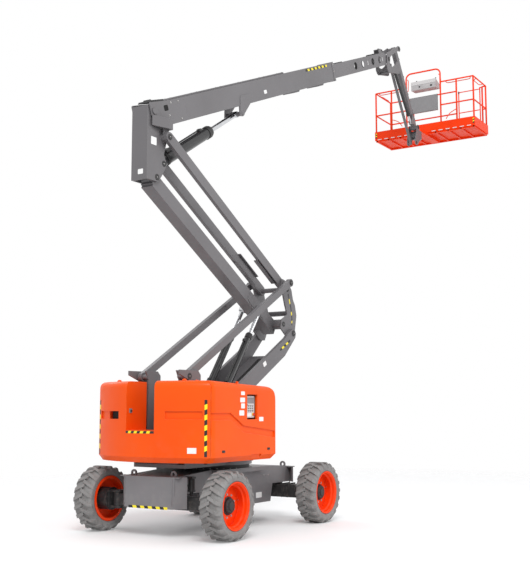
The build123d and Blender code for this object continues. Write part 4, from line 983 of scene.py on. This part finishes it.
# a cowl's solid: rings of plan points from the chamfered foot to the flat top
def cowlForm(name, ring, back=0.0, low=cowlLook["low"], **options):
    c = cowlLook
    form = Form(name, "cowl_orange")
    rings = []
    for z, setBack in ((low, c["chamfer"] + back), (c["low"] + c["chamferHigh"], back)):
        rings.append([(x, y, z) for x, y in ring(setBack, setBack, **options)])
    for depth in (c["nose"], 150.0, 115.0, c["edge"], 66.0, 48.0, 33.0, 21.0, 12.0, 5.0, 1.2, 0.0):
        edge, nose = (roundedBack(c[key] - back, depth) + back for key in ("edge", "nose"))
        rings.append([(x, y, cowlTop(x) - back - depth) for x, y in ring(edge, nose, **options)])
    made = [[form.mesh.verts.new(p) for p in points] for points in rings]
    for one, two in zip(made, made[1:]):
        for i in range(len(one)):
            j = (i + 1) % len(one)
            form.face((one[i], one[j], two[j], two[i]))
    form.face(made[0][::-1])
    form.face(made[-1])
    return form


# the base with each tool cut away from it, kept where both are, or joined on
def carved(base, *steps):
    scratch = []
    for form in [base] + [tool for how, tool in steps]:
        bmesh.ops.recalc_face_normals(form.mesh, faces=form.mesh.faces)
        mesh = bpy.data.meshes.new("scratch")
        form.mesh.to_mesh(mesh)
        scratch.append(place("scratch", mesh))
    for (how, tool), holder in zip(steps, scratch[1:]):
        tool.mesh.free()
        boolean = scratch[0].modifiers.new(how, "BOOLEAN")
        boolean.operation = how
        boolean.solver = "EXACT"
        boolean.object = holder
    bpy.context.view_layer.update()
    shaped = scratch[0].evaluated_get(bpy.context.evaluated_depsgraph_get())
    result = bpy.data.meshes.new_from_object(shaped)
    base.mesh.clear()
    base.mesh.from_mesh(result)
    for face in base.mesh.faces:
        face.material_index = 0
    for holder in scratch:
        mesh = holder.data
        bpy.data.objects.remove(holder)
        bpy.data.meshes.remove(mesh)
    bpy.data.meshes.remove(result)
    return base


def makeCowls():
    c = cowlLook
    (p0, p1), (low, high), skin = c["panels"], c["panelRows"], c["skin"]
    steps = [("DIFFERENCE", Form("slot").block(-2000, -1201, -c["slotHalf"], c["slotHalf"], c["slotSill"], 2200))]
    for y0, y1, deep in ((p0, p1, c["dent"]), (-p1, -p0, c["dent"]), (*c["hand"], c["grip"])):
        core = cowlForm("core", tailRing, deep)
        pocket = Form("pocket").block(-2000, -1435, y0, y1, low, high)
        steps.append(("DIFFERENCE", carved(pocket, ("DIFFERENCE", core))))
    tail = carved(cowlForm("cowl_tail", tailRing), *steps)
    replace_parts(tail.done("turntable", "cowl_orange"), "ballast_tail")
    for side in ("right", "left"):
        hood = cowlForm("cowl_hood_" + side, hoodRing)
        cavity = cowlForm("cavity", hoodRing, c["wall"], low=900.0, start=c["hood"] + c["wall"], inner=380.0)
        steps = [("DIFFERENCE", cavity)]
        x0, x1, z0, z1 = c["scoop"]
        for dent in (Form("band").prism(bandLine, *skin), Form("scoop").block(x0, x1, *skin, z0, z1)):
            core = cowlForm("core", hoodRing, c["dent"], low=880.0, start=c["hood"] - 60, inner=400.0)
            steps.append(("DIFFERENCE", carved(dent, ("DIFFERENCE", core))))
        if side == "right":
            x0, x1, z0, z1 = c["window"]
            steps.append(("DIFFERENCE", Form("window").block(x0, x1, -1100, -900, z0, z1)))
        carved(hood, *steps)
        for x in c["hinges"]:
            hood.rod((x, -458, 2080), (x + 30, -458, 2080), 11)
            hood.block(x, x + 30, -490, -460, cowlTop(x) - 10, 2086)
        if side == "left":
            bmesh.ops.scale(hood.mesh, vec=(1, -1, 1), verts=hood.mesh.verts)
        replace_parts(hood.done("hood_" + side, "cowl_orange"), "hood_" + side)


def makeCowlTrim():
    # a near-black plate at the back of the tail's hand grip pocket: painted shade of the hole's dark inside
    handHoleShade = Form("tail_hand_hole_shade", "paintedHoleShade")
    edge = (402, 1560), (628, 1560), (628, 1662), (402, 1662)
    handHoleShade.plate(*([tailPoint(y, z, lift) for y, z in edge] for lift in (-60, -89)))
    handHoleShade.done("turntable", smooth=False)
    knob = Form("tail_knobs", "cowl_orange")
    for y in (-560, 560):
        knob.turned([(0, 30), (12, 30), (24, 22), (28, 8), (28, 0)], (-1480, y, 2064), (0, 0, 1), 24)
    knob.done("turntable")
    key = Form("slot_switch", "panelGrey")
    key.block(-1650, -1590, 231, 237.8, 1640, 1700, cut=8)
    key.use("castBlack").rod((-1620, 231, 1668), (-1620, 214, 1668), 13)
    key.done("turntable")
    for side, sign in sides:
        latch = Form("hood_latch_hood_" + side, "castBlack")
        for x in (-1180, -60):
            latch.block(x - 34, x + 34, *span(sign, 984.0, 992.0), 1120, 1152, cut=8)
            latch.rod((x, sign * 984, 1136), (x, sign * 997, 1136), 10)
        latch.done("hood_" + side, bevel=1.5)
    buffers = Form("turntable_buffers", "rubberBlack")
    for x in (-1180, -620, -60):
        for y in (-700, 700):
            buffers.rod((x, y, 962), (x, y, 1000), 26, 18)
    buffers.done("turntable")


# ---- both control panels ----

groundLook = dict(face=-938.0, low=(-596, 1574), high=(-366, 1868), firstSwitch=(34, 92), switchStep=(48, 34))


def makeGroundPanel():
    g = groundLook
    panel = Form("ground_panel", "boxLight")
    face = g["face"]
    (x0, z0), (x1, z1) = g["low"], g["high"]
    panel.block(x0, x1, face - 6, face + 2, z0, z1, cut=10)
    panel.use("panelGrey").block(x0 + 14, x1 - 14, face - 8, face - 5, z1 - 100, z1 - 20, cut=5)
    panel.use("labelWhite").block(x0 + 14, x1 - 80, face - 8, face - 5, z0 + 14, z0 + 60, cut=4)
    for row in range(3):
        for column in range(4):
            x = x0 + g["firstSwitch"][0] + column * g["switchStep"][0]
            z = z0 + g["firstSwitch"][1] + row * g["switchStep"][1]
            panel.use("castBlack").rod((x, face - 5, z), (x, face - 12, z), 9, 16)
            panel.use("boltSteel").rod((x, face - 10, z), (x + 1, face - 26, z + 7), 3.2, 10)
    x, z = x1 - 38, z0 + 44
    panel.use("tapeYellow").rod((x, face - 5, z), (x, face - 9, z), 24, 28)
    panel.use("knobRed").turned([(0, 12), (8, 12), (9, 19), (17, 20), (21, 16), (22, 0)], (x, face - 8, z),
                                (0, -1, 0), 28)
    x, z = x0 + 40, z1 - 122
    panel.use("castBlack").rod((x, face - 5, z), (x, face - 16, z), 11, 20)
    panel.done("turntable", bevel=1.0)


consoleLook = dict(back=8283.0, foot=8980.0, lidHalf=304, bodyHalf=290, lidTop=204, slope=0.3137,
                   lean=(0.30, 0, 0.954), levers=((-258, 74), (-150, 26), (150, 26), (210, 74)))


def makePlatformConsole():
    # a light lid over a darker body, leaning towards the operator
    c = consoleLook
    x0, z, wide, lean = c["back"], c["foot"], c["lidHalf"], Vector(c["lean"])
    top = z + c["lidTop"]
    lid = Form("console_lid", "boxLight")
    lid.prism([(x0 - 3, z + 196), (x0 + 252, z + 117), (x0 + 252, z + 124), (x0 - 3, top)], -wide, wide)
    lid.block(x0 - 8, x0 - 0.5, -wide, wide, z + 120, top)
    lid.done("platform", bevel=2.5)
    body = Form("console_body", "console_grey")
    body.block(x0 - 4, x0 - 0.5, -c["bodyHalf"], c["bodyHalf"], z + 4, z + 118)
    body.use("castBlack").rod((x0 - 4, 92, z + 66), (x0 - 30, 92, z + 66), 16, 20)
    body.block(x0 - 10, x0 - 3, -210, -170, z + 40, z + 80, cut=6)
    body.done("platform", bevel=2.0)
    knobs = Form("console_knobs", "castBlack")

    def onLid(along, y, rise=0.0):
        return Vector((x0 + along, y, top - (along + 3) * c["slope"])) + lean * rise

    for y, tall in c["levers"]:
        knobs.turned([(0, 24), (8, 22), (16, 12)], onLid(90, y), lean, 20)
        knobs.turned([(0, 8), (tall - 16, 8), (tall - 12, 15), (tall, 15), (tall + 4, 10), (tall + 4, 0)],
                     onLid(90, y, 12), lean, 18)
    for y in (-80, -30, 20, 70):
        knobs.rod(onLid(70, y), onLid(70, y, 14), 9, 16)
        knobs.use("boltSteel").rod(onLid(70, y, 10), onLid(74, y, 30), 3, 10).use("castBlack")
    knobs.use("tapeYellow").rod(onLid(180, -210), onLid(180, -210, 4), 26, 28)
    knobs.use("knobRed").turned([(0, 12), (8, 12), (9, 20), (18, 21), (22, 17), (23, 0)], onLid(180, -210, 3),
                                lean, 28)
    knobs.use("panelGrey").prism([(x0 + 30, z + 196), (x0 + 60, z + 187), (x0 + 60, z + 190), (x0 + 30, z + 199)],
                                 90, 130)
    knobs.done("platform", "console_grey")


# the rails as the CAD model has them, but open between the arch's posts
def makeRails():
    source = frame["nodes"]["platform_rails"]
    rails = Form("rails_open")
    rails.mesh.from_mesh(source.data)
    rails.mesh.transform(frames["machine"].inverted() @ source.matrix_world)
    rails.use("basket_orange")
    carved(rails, ("DIFFERENCE", Form("gap").block(8200, 8330, -402, 402, 8180, 9320)))
    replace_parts(rails.done("platform", "basket_orange"), "platform_rails")


railLook = dict(inner=8268, top=9070.0, side=1194, floor=(8262, 9098), floorTop=7925.5, toe=8238.9)


def makePlatformTrim():
    r = railLook
    x, z = r["inner"], r["top"]
    # flat grey tray for papers under the controls, on the boom's side of the rails
    tray = Form("paper_tray", "panelGrey")
    tray.block(x - 6, x, -348, 330, 8430, 8800, cut=10)
    tray.block(x, x + 32, -348, 330, 8430, 8434)
    for y in (-320, 300):
        for height in (8770, 8460):
            tray.use("boltSteel").bolt((x - 6, y, height), (-1, 0, 0), 8)
    tray.done("platform", bevel=2)
    # hand rails inside the top rail
    loops = Form("inner_hand_rails", "basket_orange")
    for sign in (-1, 1):
        loops.tube([(x + dx, sign * y, z + dz) for dx, y, dz in (
            (0, 540.0, 0), (52, 552.0, -22), (77, 600.0, -28), (77, 830.0, -28), (77, 1060.0, -28),
            (52, 1108.0, -22), (0, 1120.0, 0))], 9)
        loops.tube([(along, sign * y, z + dz) for along, y, dz in (
            (8460, r["side"], 0), (8480, 1150, -22), (8540, 1124, -28), (8680, 1124, -28), (8830, 1124, -28),
            (8890, 1150, -22), (8910, r["side"], 0))], 9)
        loops.tube([(x + dx, sign * y, z + dz) for dx, y, dz in (
            (0, 380, 190), (62, 392, 176), (77, 400, 60), (62, 400, -60), (0, 400, -90))], 9)
    loops.done("platform")
    braces = Form("rail_braces", "basket_orange")
    for y in (-420, 420):
        braces.tube([(x, y * 1.28, 8180), (x, y * 1.5, 8300), (x, y * 1.9, 8380)], 9)
    braces.done("platform")
    beams = Form("floor_beams", "basket_orange")
    low, high = r["floor"]
    for y in (-1180, -880, -580, -280, 280, 580, 880, 1180):
        beams.block(low, high, y - 18, y + 18, 7897, r["floorTop"])
    for x in (low, high - 36):
        beams.block(x, x + 36, -1200, 1200, 7891, r["floorTop"])
    beams.done("platform", bevel=2)
    slots = Form("toe_slots", "labelWhite")
    for k in range(14):
        y = -1130 + k * 168
        if abs(y) > 130:
            slots.block(r["toe"], r["toe"] + 0.7, y, y + 96, 7934, 7950, cut=6)
    slots.done("platform", "basket_orange", smooth=False)
    corner = Form("tape_platform")
    for sign in (-1, 1):
        tape(corner, lambda a, b, lift: (r["toe"] + 1 - lift, sign * (1170.0 + b), 7976.0 + a),
             120.0, 34.0, 4, 1.0)
    corner.done("platform", "basket_orange", smooth=False)
    latch = Form("gate_latch", "castBlack")
    latch.block(9079, 9106, -560, -534, 8990, 9046, cut=5)
    latch.done("platform", bevel=2)


tipPins = ((6113.7, 8984.1, 46), (6650.7, 9380.1, 40))  # x, z, radius
mountPins = ((7683.1, 7905.6, 38), (7564.1, 7531.6, 30))
rotatorLook = dict(x=7870.1, z=7680, circle=78, bolts=10)


def makeTipTrim():
    tip = Form("tip_cross_pins", "castBlack")
    for x, z, radius in tipPins:
        for sign in (-1, 1):
            tip.cap((x, sign * 134, z), (0, sign, 0), radius, 9)
    for sign in (-1, 1):
        for x, z, radius in tipPins:
            tip.use("boltSteel").bolt((x, sign * 143, z), (0, sign, 0), 9)
    tip.done("tip_bracket")
    foot = Form("mount_pin_caps", "castBlack")
    for x, z, radius in mountPins:
        for sign in (-1, 1):
            foot.cap((x, sign * 104, z), (0, sign, 0), radius, 8, 24)
    foot.done("platform_mount")
    motor = Form("rotator_bolts", "boltSteel")
    r = rotatorLook
    for dx, y in circle(r["bolts"], r["circle"]):
        if dx > -0.5 * r["circle"]:
            motor.bolt((r["x"] + dx, y, r["z"]), (0, 0, -1), 8)
    motor.done("platform_mount")


for makePart in (makeTailTape, makeFlatTapes, makeKneeTapes, makeLabels, makeWheels, makePins, makeBoomTrim,
                 makeRiserTrim, makeHoses, makeChassisTrim, makeCowls, makeCowlTrim, makeGroundPanel,
                 makePlatformConsole, makeRails, makePlatformTrim, makeTipTrim):
    makePart()
    print("boom lift:", makePart.__name__, "done")


# ---- stage ----
stageLook = dict(floorSize=60.0, floorTone=0.93, skyStrength=0.80, fadeFrom=4.0, fadeTo=11.0)


def makeStage():
    s = stageLook
    half, tone = s["floorSize"] / 2, s["floorTone"]
    mesh = bpy.data.meshes.new("studioFloor")
    mesh.from_pydata([(-half, -half, 0), (half, -half, 0), (half, half, 0), (-half, half, 0)], [], [(0, 1, 2, 3)])
    floor = place("studioFloor", mesh)
    f = newFinish("studioFloor")
    cloud = f.noise(0.6, 3.0)
    colour = f.blend(f.spread(cloud, 0.3, 0.7), (tone,) * 3, (tone * 0.985,) * 3)
    x, y = f.axes()[:2]
    away = (x * x + y * y) ** 0.5
    mesh.materials.append(f.surface({"Specular IOR Level": 0.15}, colour=colour,
                                    roughness=f.spread(cloud, 0.3, 0.7, 0.55, 0.65),
                                    alpha=f.spread(away, s["fadeFrom"], s["fadeTo"], 1.0, 0.0)))


# white where the camera, a gloss or glass sees it, a cooler and dimmer fill elsewhere
def makeSky():
    world = bpy.data.worlds.new("studioSky")
    bpy.context.scene.world = world
    f = Finish(world, "ShaderNodeOutputWorld")
    rays = f.add("ShaderNodeLightPath")
    camera, gloss, glass = (Wire(f, rays.outputs["Is %s Ray" % kind])
                            for kind in ("Camera", "Glossy", "Transmission"))
    seen = camera.calc("MAXIMUM", camera.calc("MAXIMUM", camera, gloss), glass)
    fill, backdrop = (f.wire("ShaderNodeBackground", None, {0: colour, 1: strength}) for colour, strength in (
        ((0.97, 0.98, 1.0, 1), stageLook["skyStrength"]), ((1, 1, 1, 1), 1.0)))
    f.feed(f.output.inputs[0], f.wire("ShaderNodeMixShader", None, {0: seen, 1: fill, 2: backdrop}))


lamps = {
    "keyLamp": dict(place=(-16.0, -10.0, 17.0), aim=(-1.0, 0.0, 3.0), size=9.0, power=2600.0),
    "sideLamp": dict(place=(6.0, -18.0, 9.0), aim=(0.0, 0.0, 3.5), size=10.0, power=700.0),
    "backLamp": dict(place=(2.0, 16.0, 14.0), aim=(0.0, 0.0, 4.0), size=9.0, power=500.0),
}


def makeLamps():
    for name, lamp in lamps.items():
        light = bpy.data.lights.new(name, "AREA")
        light.shape = "DISK"
        light.size = lamp["size"]
        light.energy = lamp["power"]
        holder = place(name, light)
        holder.location = lamp["place"]
        ahead = Vector(lamp["aim"]) - Vector(lamp["place"])
        holder.rotation_euler = ahead.to_track_quat("-Z", "Y").to_euler()


cameraLook = dict(place=(-15.338, -8.211, 1.719), heading=32.074, rise=6.975, lens=59.36)


def makeCamera():
    data = bpy.data.cameras.new("standCamera")
    data.sensor_width = 36.0
    data.lens = cameraLook["lens"]
    data.clip_end = 300.0
    camera = place("standCamera", data)
    camera.location = cameraLook["place"]
    camera.rotation_euler = (math.radians(90.0 + cameraLook["rise"]), 0.0,
                             math.radians(cameraLook["heading"] - 90.0))
    bpy.context.scene.camera = camera


makeStage()
makeSky()
makeLamps()
makeCamera()
bpy.context.scene.view_settings.view_transform = "Standard"
print("boom lift: stage, lamps and camera set")
